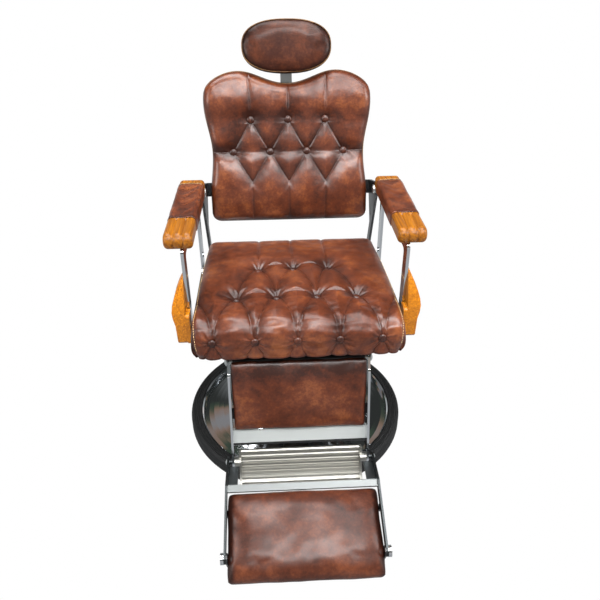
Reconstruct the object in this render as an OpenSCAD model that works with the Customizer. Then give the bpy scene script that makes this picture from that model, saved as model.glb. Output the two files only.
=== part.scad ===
// Hydraulic barber chair. X points to the sitter's left, Y to the rear, Z up.
// The origin is where the swivel axis meets the floor.

/* [Base] */
// Radius over the rubber ring
base_r = 340; // [330:1:350]
// Height of the rubber ring
ring_h = 44; // [38:1:48]
// Width of the rubber ring, seen from above
ring_w = 33; // [28:1:38]
// Radius of the pump barrel
barrel_r = 62; // [56:1:66]
// Height of the barrel's top above the floor
barrel_top = 350; // [330:1:352]
// Radius of the lifting ram
ram_r = 34; // [28:1:40]

/* [Seat] */
// Width of the seat cushion at its front
seat_w = 542; // [530:1:546]
// Front of the cushion, ahead of the swivel axis
seat_front = 325; // [315:1:330]
// Rear edge of the cushion, behind the swivel axis
seat_rear = 214; // [200:1:215]
// Height of the cushion's crown above the floor
seat_crown = 562; // [550:1:568]
// Depth of a sewn tuft
tuft_depth = 17; // [8:1:20]

/* [Backrest] */
// Lean of the backrest from upright, in degrees
back_lean = 14; // [11:0.5:16]
// Length of the backrest from its foot to the tops of its ears
back_len = 452; // [440:1:460]
// Depth of the dip between the ears
back_dip = 37; // [20:1:45]
// Width across the ears
back_w = 512; // [500:1:516]
// Thickness of the backrest cushion
back_pad = 62; // [55:1:66]

/* [Headrest] */
// Width of the oval headrest
head_w = 272; // [250:1:290]
// Height of the oval headrest
head_h = 154; // [140:1:165]

/* [Arms] */
// Width of a wooden arm
arm_w = 72; // [66:1:76]
// Height of the arms' tops above the floor
arm_top = 745; // [741:1:750]

/* [Leg rest] */
// Width over the leg rest's side bars
leg_w = 369; // [362:1:370]
// Width of the foot pad
foot_w = 382; // [374:1:384]

/* [Hidden] */
$fn = 48;

// Finishes
rubber = [0.11, 0.12, 0.13];
chrome = [0.80, 0.81, 0.83];
black = [0.07, 0.07, 0.08];
steel = [0.66, 0.67, 0.66];
leather = [0.36, 0.17, 0.13];
wood = [0.80, 0.48, 0.15];
alloy = [0.69, 0.68, 0.63];
bronze = [0.62, 0.48, 0.26];
plywood = [0.62, 0.50, 0.36];

// Running fit between a pin and its bore
fit = 0.05;

// Heights of the seat's layers
hub_z = 378;
plate_z = 402;
rail_z = 410;
board_z = 451;
cushion_z = 463;

// Pivots, as [y, z]. The two links between the backrest and the leg rest make an exact
// parallelogram: both lower arms have the same length and direction.
recline_pivot = [255, 678];
leg_pivot = [-275, 425];
link_arm = [100, -265];
link_rear = recline_pivot + link_arm;
link_front = leg_pivot + link_arm;
foot_pivot = [-607, 85];
foot_rest_bar = [-452, 150];
lever_pivot = [80, 390];
pedal_pivot = [97, 120];

// Planes across the chair, as distances from its middle
lever_x = 268;
frame_x = 280;
frame_t = 8;
rod_x = 130;

// The backrest's own frame: its foot, with h up the slope and d forwards out of its face
back_foot = [0, 275, 572];
head_at = 522;

module on_back() {
    translate(back_foot) rotate([90 - back_lean, 0, 0]) children();
}

// ---- Shared shapes -------------------------------------------------------------

// A child and its mirror image on the chair's other side
module pair() {
    children();
    mirror([1, 0, 0]) children();
}

// A plate across the chair: its outline is drawn as (y, z), and it runs from x to x + t
module plate(x, t) {
    translate([x, 0, 0]) rotate([90, 0, 90]) linear_extrude(t) children();
}

// A round rod across the chair, from x0 to x1, at p = [y, z]
module cross_rod(x0, x1, p, r) {
    translate([x0, p[0], p[1]]) rotate([0, 90, 0]) cylinder(h = x1 - x0, r = r);
}

// The outline of a flat bar of width w with round ends, from a to b
module bar(a, b, w) {
    run = b - a;
    translate(a) circle(d = w);
    translate(b) circle(d = w);
    translate(a) rotate(atan2(run[1], run[0])) translate([0, -w / 2]) square([norm(run), w]);
}

// A rectangle with round corners, centred
module round_rect(l, w, r) {
    square([l - 2 * r, w], center = true);
    square([l, w - 2 * r], center = true);
    for (sx = [-1, 1], sy = [-1, 1]) translate([sx * (l / 2 - r), sy * (w / 2 - r)]) circle(r);
}

// A domed bolt head across the chair, its flat side at x and its dome pointing to +X
module dome_head(x, p, r, h) {
    ball = (r * r + h * h) / (2 * h);
    translate([x, p[0], p[1]]) rotate([0, 90, 0]) intersection() {
        cylinder(h = h, r = r);
        translate([0, 0, h - ball]) sphere(ball);
    }
}

function join(lists) = [for (l = lists) for (v = l) v];
function bump(t) = exp(-t * t);

// Distance from point p to the line from a to b
function line_gap(p, a, b) =
    let (run = b - a, t = max(0, min(1, ((p - a) * run) / (run * run))))
    norm(p - a - t * run);

// How deep the sewn face lies at p: a pit at each button and a crease along each pleat
function sewn(p, buttons, pleats, depth) =
    let (pits = [for (b = buttons) depth * bump(norm(p - b) / 20)],
         folds = [for (l = pleats) 0.45 * depth * bump(line_gap(p, l[0], l[1]) / 9)])
    max(concat(pits, folds, [0]));

// A closed padded form: a grid of points on its face, rings of points round its edge,
// and one point in the middle of its back. Seen from its face, rows run upwards.
module padded(grid, rings, back) {
    n = len(grid[0]) - 1;
    m = len(grid) - 1;
    w = n + 1;
    around = concat([for (i = [0:n - 1]) i], [for (j = [0:m - 1]) j * w + n],
        [for (i = [n:-1:1]) m * w + i], [for (j = [m:-1:1]) j * w]);
    count = len(around);
    start = w * (m + 1);
    loops = concat([around], [for (k = [0:len(rings) - 1]) [for (i = [0:count - 1]) start + k * count + i]]);
    last = loops[len(loops) - 1];
    tip = start + len(rings) * count;
    face = [for (j = [0:m - 1]) for (i = [0:n - 1]) let (a = j * w + i)
        for (f = [[a, a + w, a + w + 1], [a, a + w + 1, a + 1]]) f];
    skirt = [for (k = [0:len(rings) - 1]) for (i = [0:count - 1])
        let (o = (i + 1) % count, p = loops[k], q = loops[k + 1])
        for (f = [[p[i], p[o], q[o]], [p[i], q[o], q[i]]]) f];
    fan = [for (i = [0:count - 1]) [last[i], last[(i + 1) % count], tip]];
    polyhedron(points = concat(join(grid), join(rings), [back]), faces = concat(face, skirt, fan));
}

// The points round the edge of a grid, in the order that padded() uses
function edge_of(grid) =
    let (n = len(grid[0]) - 1, m = len(grid) - 1)
    concat([for (i = [0:n - 1]) grid[0][i]], [for (j = [0:m - 1]) grid[j][n]],
        [for (i = [n:-1:1]) grid[m][i]], [for (j = [m:-1:1]) grid[j][0]]);

// ---- Base ----------------------------------------------------------------------

ring_in = base_r - ring_w;

// Cast steel disc that carries everything and rests on the floor
module base_plate() {
    color(black) cylinder(h = 12, r = ring_in);
}

// Grooved rubber bumper round the base
module base_ring() {
    edge = 12;
    color(rubber) rotate_extrude($fn = 96) difference() {
        union() {
            translate([ring_in, 0]) square([ring_w - 3, ring_h - edge]);
            translate([ring_in, 4]) square([ring_w, ring_h - edge - 4]);
            translate([ring_in, 0]) square([ring_w - edge, ring_h]);
            translate([base_r - edge, ring_h - edge]) circle(edge);
        }
        for (r = [0.25, 0.45, 0.65]) translate([ring_in + r * ring_w, ring_h]) circle(1.4);
        for (z = [0.35, 0.6]) translate([base_r, z * ring_h]) circle(1.4);
    }
}

// Height of the dish at radius r: it dips inside its rim and climbs to the pump
function dish_z(r) =
    let (t = (ring_in - 8 - r) / (ring_in - 8 - 78))
    26 + 66 * pow(t, 1.35);

// Pressed and chromed dish that hides the plate
module base_dish() {
    sheet = 2.5;
    radii = [for (k = [0:14]) ring_in - 8 - k * (ring_in - 86) / 14];
    outline = concat(
        [[ring_in, 12], [ring_in, ring_h - 6], [ring_in - 3, ring_h - 2], [ring_in - 7, ring_h - 6]],
        [for (r = radii) [r, dish_z(r)]],
        [[76, 98], [70, 98], [70, 94]],
        [for (k = [14:-1:1]) [radii[k], dish_z(radii[k]) - sheet]],
        [[ring_in - 12, 20], [ring_in - 4, 12]]);
    color(chrome) rotate_extrude($fn = 96) polygon(outline);
}

// Pump barrel with its foot flange, open at the top
module pump_barrel() {
    color(black) difference() {
        union() {
            translate([0, 0, 12]) cylinder(h = 16, r = barrel_r + 38);
            translate([0, 0, 28]) cylinder(h = 8, r1 = barrel_r + 10, r2 = barrel_r);
            translate([0, 0, 12]) cylinder(h = barrel_top - 12, r = barrel_r);
        }
        translate([0, 0, 40]) cylinder(h = barrel_top, r = barrel_r - 14);
        for (a = [30:60:330]) rotate(a) translate([barrel_r + 24, 0, 11]) cylinder(h = 20, r = 6);
    }
}

// Polished ring that closes the barrel round the ram
module gland_ring() {
    color(chrome) rotate_extrude() polygon([
        [ram_r + fit, barrel_top], [barrel_r + 3, barrel_top], [barrel_r + 3, barrel_top + 7],
        [barrel_r - 2, barrel_top + 13], [ram_r + fit, barrel_top + 13]]);
}

// Six hexagon bolts that hold the barrel's flange down
module flange_bolts() {
    color(steel) for (a = [30:60:330]) rotate(a) translate([barrel_r + 24, 0, 0]) {
        translate([0, 0, 12]) cylinder(h = 16, r = 6);
        translate([0, 0, 28]) cylinder(h = 8, r = 10, $fn = 6);
    }
}

// Pump body on the barrel's rear, above the dish
module pump_block() {
    color(black) difference() {
        union() {
            translate([-26, 30, 100]) cube([52, 67, 40]);
            cross_rod(-26, 26, pedal_pivot, 20);
            translate([0, barrel_r + 8, 138]) cylinder(h = 10, r = 9);
        }
        translate([0, 0, 90]) cylinder(h = 60, r = barrel_r);
        cross_rod(-40, 40, pedal_pivot, 7 + fit);
    }
}

// Forked pedal arm with its pin
module pedal_arm() {
    color(chrome) {
        for (s = [-34.3, 26.3]) plate(s, 8) union() {
            bar(pedal_pivot, [150, 116], 22);
            bar([150, 116], [176, 114], 22);
        }
        cross_rod(-34.3, 34.3, pedal_pivot, 7);
        translate([-34.3, 160, 105]) cube([68.6, 16, 22]);
        translate([-15, 170, 107]) cube([30, 90, 12]);
    }
}

// Ribbed rubber tread on the pedal
module pedal_pad() {
    color(rubber) difference() {
        translate([0, 260, 119]) linear_extrude(12) round_rect(96, 52, 10);
        for (y = [244:8:276]) translate([-40, y, 129]) cube([80, 3, 4]);
    }
}

// ---- Lifting ram ---------------------------------------------------------------

module ram_tube() {
    color(chrome) {
        translate([0, 0, 70]) cylinder(h = 22, r = barrel_r - 14 - fit);
        translate([0, 0, 90]) cylinder(h = 278, r = ram_r);
        translate([0, 0, 366]) cylinder(h = 9, r = 56);
        translate([0, 0, 374]) cylinder(h = 26, r = 16);
    }
}

// Bronze ring that the seat turns on
module thrust_washer() {
    color(bronze) translate([0, 0, 375]) difference() {
        cylinder(h = 3, r = 52);
        translate([0, 0, -1]) cylinder(h = 5, r = 16);
    }
}

// ---- Seat ----------------------------------------------------------------------

// Turned hub with the plate that the frame bolts to
module swivel_hub() {
    color(black) difference() {
        union() {
            translate([0, 0, hub_z + fit]) cylinder(h = plate_z - hub_z - fit, r = 58);
            translate([0, 0, plate_z]) linear_extrude(rail_z - plate_z) round_rect(240, 200, 14);
        }
        translate([0, 0, hub_z - 1]) cylinder(h = 26, r = 16 + fit);
    }
}

// Welded frame: two box rails, two outriggers with lugs for the arm frames, and the hinge tube
module seat_frame() {
    rail_h = board_z - rail_z;
    color(black) {
        difference() {
            union() {
                pair() difference() {
                    translate([84, -270, rail_z]) cube([26, 388, rail_h]);
                    translate([87, -240, rail_z + 3]) cube([20, 400, rail_h - 6]);
                }
                cross_rod(-171, 171, leg_pivot, 11);
            }
            cross_rod(-172, 172, leg_pivot, 8);
        }
        for (y = [-178, 62]) difference() {
            translate([-frame_x, y, board_z - 8]) cube([2 * frame_x, 36, 8]);
            for (s = [-170, 170]) translate([s, y + 18, board_z - 9]) cylinder(h = 10, r = 4);
        }
        for (y = [-178, 62]) pair() difference() {
            translate([frame_x - 8, y, 412]) cube([8, 36, board_z - 412 - 4]);
            cross_rod(frame_x - 9, frame_x + 1, [y + 18, 428], 5);
        }
    }
}

// Shaft that the leg rest swings on
module leg_hinge_shaft() {
    color(steel) {
        cross_rod(-leg_w / 2 - 2, leg_w / 2 + 2, leg_pivot, 8);
        pair() dome_head(leg_w / 2 + 2, leg_pivot, 12, 6);
    }
}

module seat_board() {
    color(plywood) translate([0, (seat_rear - seat_front) / 2, board_z])
        linear_extrude(cushion_z - board_z) round_rect(seat_w - 20, seat_rear + seat_front - 60, 30);
}

// The seat's top in profile, from the rear edge (0) over the crown to the front's foot (1)
rear_z = 526;
nose_r = 52;
function seat_profile(t) =
    let (flat_y = -seat_front + nose_r + 8, long = seat_rear - flat_y)
    t < 0.62 ? let (k = t / 0.62) [seat_rear - k * long, rear_z + (seat_crown - rear_z) * sin(90 * pow(k, 0.9))]
    : t < 0.86 ? let (a = 90 * (t - 0.62) / 0.24)
        [flat_y - (nose_r + 5) * sin(a), seat_crown - nose_r + nose_r * cos(a)]
    : let (k = (t - 0.86) / 0.14) [-seat_front + 3 - 2 * k, seat_crown - nose_r - k * (seat_crown - nose_r - cushion_z - 8)];
function seat_normal(t) =
    let (run = seat_profile(min(1, t + 0.01)) - seat_profile(max(0, t - 0.01)), n = [run[1], -run[0]])
    n / norm(n);

// Distance over the cushion from its rear edge, against the profile's parameter
flat_run = seat_rear + seat_front - nose_r - 8;
run_table = [[0, 0], [0.62, flat_run], [0.86, flat_run + 86], [1, flat_run + 125]];
function seat_run(t) = lookup(t, run_table);
function seat_t(run) = lookup(run, [for (p = run_table) [p[1], p[0]]]);
run_len = seat_run(1);

// Buttons as [x, run]
row_step = seat_w * 0.194;
row_c = [for (k = [-1:1]) [k * row_step * 0.94, 222]];
row_b = [for (k = [-1.5:1.5]) [k * row_step, 388]];
row_a = [for (k = [-2:2]) [k * row_step, 557]];
seat_pits = concat(row_c, row_b, row_a);
seat_pleats = concat(
    [for (b = row_c) [b, [b[0], 0]]],
    [for (b = row_c, c = row_b) if (abs(b[0] - c[0]) < row_step) [b, c]],
    [for (b = row_b, c = row_a) if (abs(b[0] - c[0]) < row_step) [b, c]],
    [for (b = row_a, s = [-1, 1]) [b, [b[0] + s * 18, run_len]]]);

// The cushion widens from its rear edge to its middle, and draws in below its nose
rear_w = 530;
function seat_width(t) = rear_w - 6 + (seat_w - rear_w) * min(1, 2 * t) - 22 * pow(max(0, t - 0.8) / 0.2, 3);

function seat_point(u, t) =
    let (edge = 1 - pow(abs(2 * u - 1), 6), x = (u - 0.5) * seat_width(t) * (1 - 0.012 * (1 - edge)),
         p = seat_profile(t), n = seat_normal(t),
         crown = 9 * (1 - pow(2 * u - 1, 2)) * sin(180 * min(1, t / 0.9)),
         dip = 12 * (1 - edge) + sewn([x, seat_run(t)], seat_pits, seat_pleats, tuft_depth) * edge,
         q = p + n * (crown - dip))
    [x, q[0], max(q[1], cushion_z + 1)];

module seat_cushion() {
    cols = 30;
    rows = 28;
    grid = [for (j = [0:rows]) [for (i = [cols:-1:0]) seat_point(i / cols, j / rows)]];
    edge = edge_of(grid);
    middle = (seat_rear - seat_front) / 2;
    waist = [for (p = edge) [p[0] * 1.006, p[1] + sign(p[1] - middle) * 1, (p[2] * 0.5 + cushion_z * 0.5)]];
    foot = [for (p = edge) [p[0] * 0.985, middle + (p[1] - middle) * 0.985, cushion_z]];
    color(leather) padded(grid, [waist, foot], [0, middle, cushion_z]);
}

// Covered buttons, pulled down into the tufts
module seat_buttons() {
    color(leather) for (b = seat_pits) {
        t = seat_t(b[1]);
        p = seat_point(b[0] / seat_width(t) + 0.5, t);
        n = seat_normal(t);
        translate(p + [0, n[0], n[1]] * 2.5) rotate([-atan2(n[0], n[1]), 0, 0]) scale([1, 1, 0.5]) sphere(11, $fn = 24);
    }
}

// ---- Arms ----------------------------------------------------------------------

arm_x = 290;
arm_low = 702;
arm_nose = -191;
arm_tail = 198;
nose_half = (arm_top - arm_low) / 2;

// Chromed flat-bar loop that carries an arm, bored for the recline bolt
module arm_frame() {
    low = 411;
    front = -178;
    rear = 217;
    color(chrome) plate(frame_x, frame_t) difference() {
        union() {
            translate([(front + rear) / 2, (low + arm_low) / 2]) round_rect(rear - front, arm_low - low, 20);
            bar([200, recline_pivot[1]], recline_pivot, 36);
        }
        translate([(front + rear) / 2 + 1, (low + arm_low) / 2 + 1]) round_rect(rear - front - 70, arm_low - low - 66, 12);
        translate(recline_pivot) circle(9);
        for (y = [-160, 80]) translate([y, 428]) circle(5);
    }
}
module arm_frame_left() arm_frame();
module arm_frame_right() mirror([1, 0, 0]) arm_frame();

// Side view of a wooden arm: a straight bar with a round nose
module arm_side(shrink) {
    nose_y = arm_nose + nose_half;
    translate([nose_y, arm_low + nose_half]) circle(nose_half - shrink);
    translate([nose_y, arm_low + shrink]) square([arm_tail - nose_y - shrink, 2 * (nose_half - shrink)]);
}

// Varnished arm: two grooves run over its nose and part it in three, and a rebate takes the leather pad
pad_front = -84;
pad_rear = 158;
module arm_wood() {
    nose_y = arm_nose + nose_half;
    color(wood) difference() {
        intersection() {
            plate(arm_x - arm_w / 2, arm_w) arm_side(0);
            translate([arm_x, arm_tail + 1, arm_low + nose_half]) rotate([90, 0, 0])
                linear_extrude(460) round_rect(arm_w, 2 * nose_half, 12);
        }
        for (k = [-1, 1]) translate([arm_x + k * arm_w * 0.16, nose_y, arm_low + nose_half]) {
            translate([0, pad_front - 4 - nose_y, nose_half + 2]) rotate([90, 0, 0])
                cylinder(h = pad_front - 4 - nose_y, r = 5);
            rotate([0, 90, 0]) rotate(180) rotate_extrude(angle = 140) translate([nose_half + 2, 0]) circle(5);
        }
        translate([0, pad_rear, 0]) rotate([90, 0, 0]) linear_extrude(pad_rear - pad_front) difference() {
            translate([arm_x, arm_low + nose_half]) square([arm_w + 4, 2 * nose_half + 4], center = true);
            translate([arm_x, arm_low + nose_half - 3]) round_rect(arm_w - 6, 2 * nose_half, 8);
        }
    }
}
module arm_wood_left() arm_wood();
module arm_wood_right() mirror([1, 0, 0]) arm_wood();

// Leather pad wrapped over the arm's top and sides
module arm_pad() {
    color(leather) translate([0, pad_rear, 0]) rotate([90, 0, 0]) linear_extrude(pad_rear - pad_front) difference() {
        translate([arm_x, arm_low + nose_half + 2.5]) round_rect(arm_w + 3, 2 * nose_half + 3, 11);
        translate([arm_x, arm_low + nose_half - 3]) round_rect(arm_w - 6, 2 * nose_half, 8);
        translate([arm_x - arm_w, arm_low - 20]) square([2 * arm_w, 21]);
    }
}
module arm_pad_left() arm_pad();
module arm_pad_right() mirror([1, 0, 0]) arm_pad();

// Wooden scroll round the front foot of an arm frame: a block in front of the leg,
// and outside the leg a bulge that thins to a point as it rises
scroll_outside = [[314, 440], [316, 500], [321, 520], [322.5, 538], [320, 556], [313, 578], [305, 598], [297, 615],
    [292, 624]];
scroll_side = [[-152, 626], [-176, 626], [-188, 606], [-203, 570], [-212, 535], [-216, 500], [-216, 450], [-206, 440],
    [-112, 440], [-112, 462], [-121, 476], [-133, 500], [-139, 540]];
module side_board() {
    inside = frame_x + frame_t + 0.5;
    color(wood) {
        intersection() {
            translate([0, -100, 0]) rotate([90, 0, 0]) linear_extrude(130)
                polygon(concat([[inside, 440]], scroll_outside, [[inside, 626]]));
            plate(inside, 40) polygon(scroll_side);
        }
        plate(frame_x - 2, inside - frame_x + 2.2) hull() {
            translate([-206, 450]) circle(10);
            translate([-182, 440]) square([1, 91]);
            translate([-206, 521]) circle(10);
        }
    }
}
module side_board_left() side_board();
module side_board_right() mirror([1, 0, 0]) side_board();

// Screws of the arm frames: domed heads outside, nuts inside
module frame_bolts() {
    color(steel) pair() for (y = [-160, 80]) {
        cross_rod(frame_x - 12, frame_x + frame_t, [y, 428], 5);
        dome_head(frame_x + frame_t, [y, 428], 9, 4);
        translate([frame_x - 13, y, 428]) rotate([0, 90, 0]) cylinder(h = 5, r = 8, $fn = 6);
    }
}

// Pivot bolts of the backrest, with a spacer between the arm frame and the side lever
module recline_bolts() {
    color(steel) pair() {
        cross_rod(lever_x - 5, frame_x + frame_t, recline_pivot, 9);
        cross_rod(lever_x + 8.2, frame_x, recline_pivot, 15);
        cross_rod(lever_x - 8, lever_x - 0.4, recline_pivot, 14);
        dome_head(frame_x + frame_t, recline_pivot, 15, 7);
    }
}

// Lock cylinder of the recline, hung under the frame
gas_x = 163;
gas_z = 405;
module gas_cylinder() {
    color(black) {
        difference() {
            translate([gas_x, 105, gas_z]) rotate([90, 0, 0]) cylinder(h = 260, r = 14);
            translate([gas_x, 106, gas_z]) rotate([90, 0, 0]) cylinder(h = 252, r = 8);
            translate([gas_x, 116, gas_z]) rotate([90, 0, 0]) cylinder(h = 20, r = 5.2);
        }
        for (y = [-160, 80]) translate([gas_x - 7, y - 10, gas_z + 11]) cube([14, 20, board_z - 8 - gas_z - 11]);
    }
}

module lever_bracket() {
    color(black) difference() {
        translate([214, 68, 376]) cube([26, 24, board_z - 8 - 376]);
        cross_rod(200, 250, lever_pivot, 7 + fit);
    }
}

// ---- Recline lever -------------------------------------------------------------

module recline_shaft() {
    color(chrome) {
        cross_rod(196, 302, lever_pivot, 7);
        cross_rod(206, 213.6, lever_pivot, 11);
        plate(294, 8) bar(lever_pivot, [-6, 376], 15);
    }
}
module recline_grip() {
    color(rubber) difference() {
        translate([298, -4, 376.6]) rotate([99, 0, 0]) {
            cylinder(h = 74, r = 8.5);
            translate([0, 0, 74]) sphere(8.5);
        }
        plate(294 - fit, 8 + 2 * fit) bar(lever_pivot, [-6, 376], 15 + 2 * fit);
    }
}

// ---- Links ---------------------------------------------------------------------

module link_rods() {
    run = link_rear - link_front;
    color(chrome) pair() difference() {
        union() {
            translate([rod_x, link_front[0], link_front[1]]) rotate([atan2(run[1], run[0]) - 90, 0, 0])
                cylinder(h = norm(run), r = 7);
            for (p = [link_front, link_rear]) cross_rod(rod_x - 8, rod_x + 8, p, 15);
        }
        cross_rod(rod_x - 9, rod_x + 9, link_front, 7 + fit);
        cross_rod(rod_x - 9, rod_x + 9, link_rear, 9 + fit);
    }
}

// Rod of the recline lock, ending in a slotted eye round the crossbar
module gas_rod() {
    slot_low = 392;
    slot_high = 422;
    color(chrome) difference() {
        union() {
            translate([gas_x, link_rear[0] - 12, gas_z]) rotate([90, 0, 0]) cylinder(h = 285, r = 5);
            translate([gas_x, 70, gas_z]) rotate([90, 0, 0]) cylinder(h = 12, r = 8 - fit);
            plate(gas_x - 9, 18) bar([link_rear[0], slot_low + 6], [link_rear[0], slot_high - 2], 36);
        }
        plate(gas_x - 10, 20) bar([link_rear[0], slot_low + 3], [link_rear[0], slot_high - 3], 21.5);
    }
}

// ---- Backrest ------------------------------------------------------------------

// Half the backrest's width at height h: full at the foot, drawn in at the waist, widest at the ears
function ease(t) = (1 - cos(180 * max(0, min(1, t)))) / 2;
function back_half(h) = back_w / 512 * (
    h < 211 ? 247.5 - 12 * ease((h - 70) / 141)
    : 235.5 + 20.5 * ease((h - 211) / 153) - 6 * pow(max(0, h - 364) / 45, 2));

// The top edge: a dip in the middle, an ear at two thirds, and a round shoulder
function back_top(u) =
    let (a = abs(u))
    a < 0.64 ? back_len - back_dip * (1 - ease(a / 0.64))
    : back_len - 60 * (1 - sqrt(max(0, 1 - pow((a - 0.64) / 0.36, 2))));
function back_base(u) =
    let (a = abs(u))
    a < 0.88 ? 0 : 24 * (1 - sqrt(max(0, 1 - pow((a - 0.88) / 0.12, 2))));
function back_spot(u, v) =
    let (h = back_base(u) + v * (back_top(u) - back_base(u)))
    [u * back_half(h), h];

pit_step = back_w * 0.2245;
upper_row = [for (k = [-1:1]) [k * pit_step, 0.69 * back_len]];
lower_row = [for (k = [-1.5:1.5]) [k * pit_step, 0.476 * back_len]];
meet_row = [for (k = [-1:1]) [k * pit_step, 0.277 * back_len]];
back_pits = concat(upper_row, lower_row);
back_pleats = concat(
    [for (b = upper_row) [b, [b[0] * 1.12, back_len]]],
    [for (b = upper_row, c = lower_row) if (abs(b[0] - c[0]) < pit_step) [b, c]],
    [for (b = lower_row, c = meet_row) if (abs(b[0] - c[0]) < pit_step) [b, c]],
    [for (b = meet_row) [b, [b[0], 0]]],
    [for (s = [-1, 1]) [[s * 1.5 * pit_step, lower_row[0][1]], [s * back_w, lower_row[0][1] + 4]]]);

function back_point(u, v) =
    let (p = back_spot(u, v),
         edge = (1 - pow(abs(u), 8)) * (1 - pow(abs(2 * v - 1), 8)),
         crown = 12 * sqrt(max(0, (1 - u * u) * (1 - pow(2 * v - 1, 4)))))
    [p[0], p[1], crown - 14 * (1 - edge) - edge * sewn(p, back_pits, back_pleats, tuft_depth - 2)];

module back_cushion() {
    cols = 26;
    rows = 24;
    grid = [for (j = [0:rows]) [for (i = [0:cols]) back_point(2 * i / cols - 1, j / rows)]];
    edge = edge_of(grid);
    middle = [0, back_len * 0.47, 0];
    full = [for (p = edge) let (out = p - middle) [p[0] + out[0] * 0.004, p[1] + out[1] * 0.004, -back_pad / 2]];
    rear = [for (p = edge) let (out = p - middle) [p[0] - out[0] * 0.012, p[1] - out[1] * 0.012, -back_pad]];
    color(leather) on_back() padded(grid, [full, rear], [0, middle[1], -back_pad]);
}

// Padded black board behind the cushion
module back_board() {
    steps = 30;
    foot = [for (i = [0:steps]) back_spot(2 * i / steps - 1, 0)];
    side = [for (j = [1:steps - 1]) back_spot(1, j / steps)];
    top = [for (i = [steps:-1:0]) back_spot(2 * i / steps - 1, 1)];
    other = [for (j = [steps - 1:-1:1]) back_spot(-1, j / steps)];
    middle = [0, back_len * 0.47];
    outline = [for (p = concat(foot, side, top, other)) middle + (p - middle) * 0.985];
    color(black) on_back() translate([0, 0, -back_pad - 14]) linear_extrude(14) polygon(outline);
}

module back_buttons() {
    color(leather) on_back() for (b = back_pits) {
        v = b[1] / back_top(b[0] / 250);
        crown = 12 * sqrt((1 - pow(b[0] / 245, 2)) * (1 - pow(2 * v - 1, 4)));
        translate([b[0], b[1], crown - tuft_depth + 5]) scale([1, 1, 0.5]) sphere(12, $fn = 24);
    }
}

// Flat steel rail across the back of the board, screwed to it and welded to the side levers
rail_at = [92, -back_pad - 14];
module back_rail() {
    color(black) on_back() difference() {
        translate([-lever_x, rail_at[0] - 22, rail_at[1] - 6]) cube([2 * lever_x, 44, 6]);
        for (x = [-200, -80, 80, 200]) translate([x, rail_at[0], rail_at[1] - 7]) cylinder(h = 4, r1 = 8, r2 = 4);
    }
}

// Bell-crank plates: one arm holds the backrest, the other drives the links and the lock
module side_levers() {
    s = sin(back_lean);
    c = cos(back_lean);
    rail_end = [back_foot[1] + rail_at[0] * s - (rail_at[1] - 3) * c, back_foot[2] + rail_at[0] * c + (rail_at[1] - 3) * s];
    color(black) pair() plate(lever_x, 8) difference() {
        union() {
            bar(recline_pivot, rail_end, 44);
            bar(recline_pivot, link_rear, 30);
            bar(rail_end, recline_pivot * 0.45 + link_rear * 0.55, 18);
            polygon([recline_pivot, rail_end, recline_pivot * 0.55 + link_rear * 0.45]);
        }
        translate(recline_pivot) circle(9 + fit);
        translate(link_rear) circle(5);
    }
}

// Round bar between the levers' lower ends, held by a screw at each side
module lever_crossbar() {
    color(chrome) {
        cross_rod(-lever_x, lever_x, link_rear, 9);
        pair() cross_rod(lever_x, lever_x + 8, link_rear, 5);
        pair() dome_head(lever_x + 8, link_rear, 9, 3);
        pair() for (x = [rod_x - 14, rod_x + 8.6]) difference() {
            cross_rod(x, x + 5.4, link_rear, 14);
            cross_rod(x - 1, x + 7, link_rear, 9);
        }
    }
}

// ---- Headrest ------------------------------------------------------------------

bar_w = 36;
bar_t = 8;
bar_d = -back_pad - 14 - 14;
tilt_d = -42;

// Clamp on the board's back, with a slot for the headrest bar
module headrest_clamp() {
    color(black) on_back() difference() {
        translate([0, 350, bar_d - 12]) linear_extrude(26) round_rect(70, 90, 8);
        translate([-bar_w / 2 - fit, 290, bar_d - bar_t / 2 - fit]) cube([bar_w + 2 * fit, 130, bar_t + 2 * fit]);
        translate([0, 350, bar_d - 13]) cylinder(h = 13, r = 5);
    }
}

// Fluted hand knob that locks the bar
module headrest_knob() {
    color(black) on_back() translate([0, 350, 0]) {
        translate([0, 0, bar_d - 30]) cylinder(h = 26 - 0.2, r = 5);
        translate([0, 0, bar_d - 34]) difference() {
            cylinder(h = 18, r = 21);
            for (a = [0:45:315]) rotate(a) translate([23, 0, -1]) cylinder(h = 20, r = 5);
        }
    }
}

// Flat bar that slides in the clamp and carries the tilt eye
module headrest_bar() {
    color(steel) on_back() difference() {
        union() {
            translate([-bar_w / 2, 285, bar_d - bar_t / 2]) cube([bar_w, 190, bar_t]);
            plate(-9, 18) bar([464, bar_d + 1], [head_at, tilt_d], 16);
            plate(-9, 18) translate([head_at, tilt_d]) circle(13);
        }
        cross_rod(-10, 10, [head_at, tilt_d], 6 + fit);
    }
}

head_front = 36;
head_back = -14;
function oval(u, v, w, h) = [u * sqrt(1 - v * v / 2) * w / 2, v * sqrt(1 - u * u / 2) * h / 2];
module headrest_cushion() {
    cells = 18;
    grid = [for (j = [0:cells]) [for (i = [0:cells])
        let (u = 2 * i / cells - 1, v = 2 * j / cells - 1, p = oval(u, v, head_w - 16, head_h - 14),
             r = norm([p[0] / (head_w / 2 - 8), p[1] / (head_h / 2 - 7)]))
        [p[0], head_at + p[1], head_front - 20 + 20 * sqrt(max(0, 1 - pow(r, 3)))]]];
    edge = edge_of(grid);
    full = [for (p = edge) let (f = head_w / (head_w - 16)) [p[0] * f, head_at + (p[1] - head_at) * f, head_front - 30]];
    rear = [for (p = full) [p[0] * 0.96, head_at + (p[1] - head_at) * 0.95, head_back]];
    color(leather) on_back() padded(grid, [full, rear], [0, head_at, head_back]);
}

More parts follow.
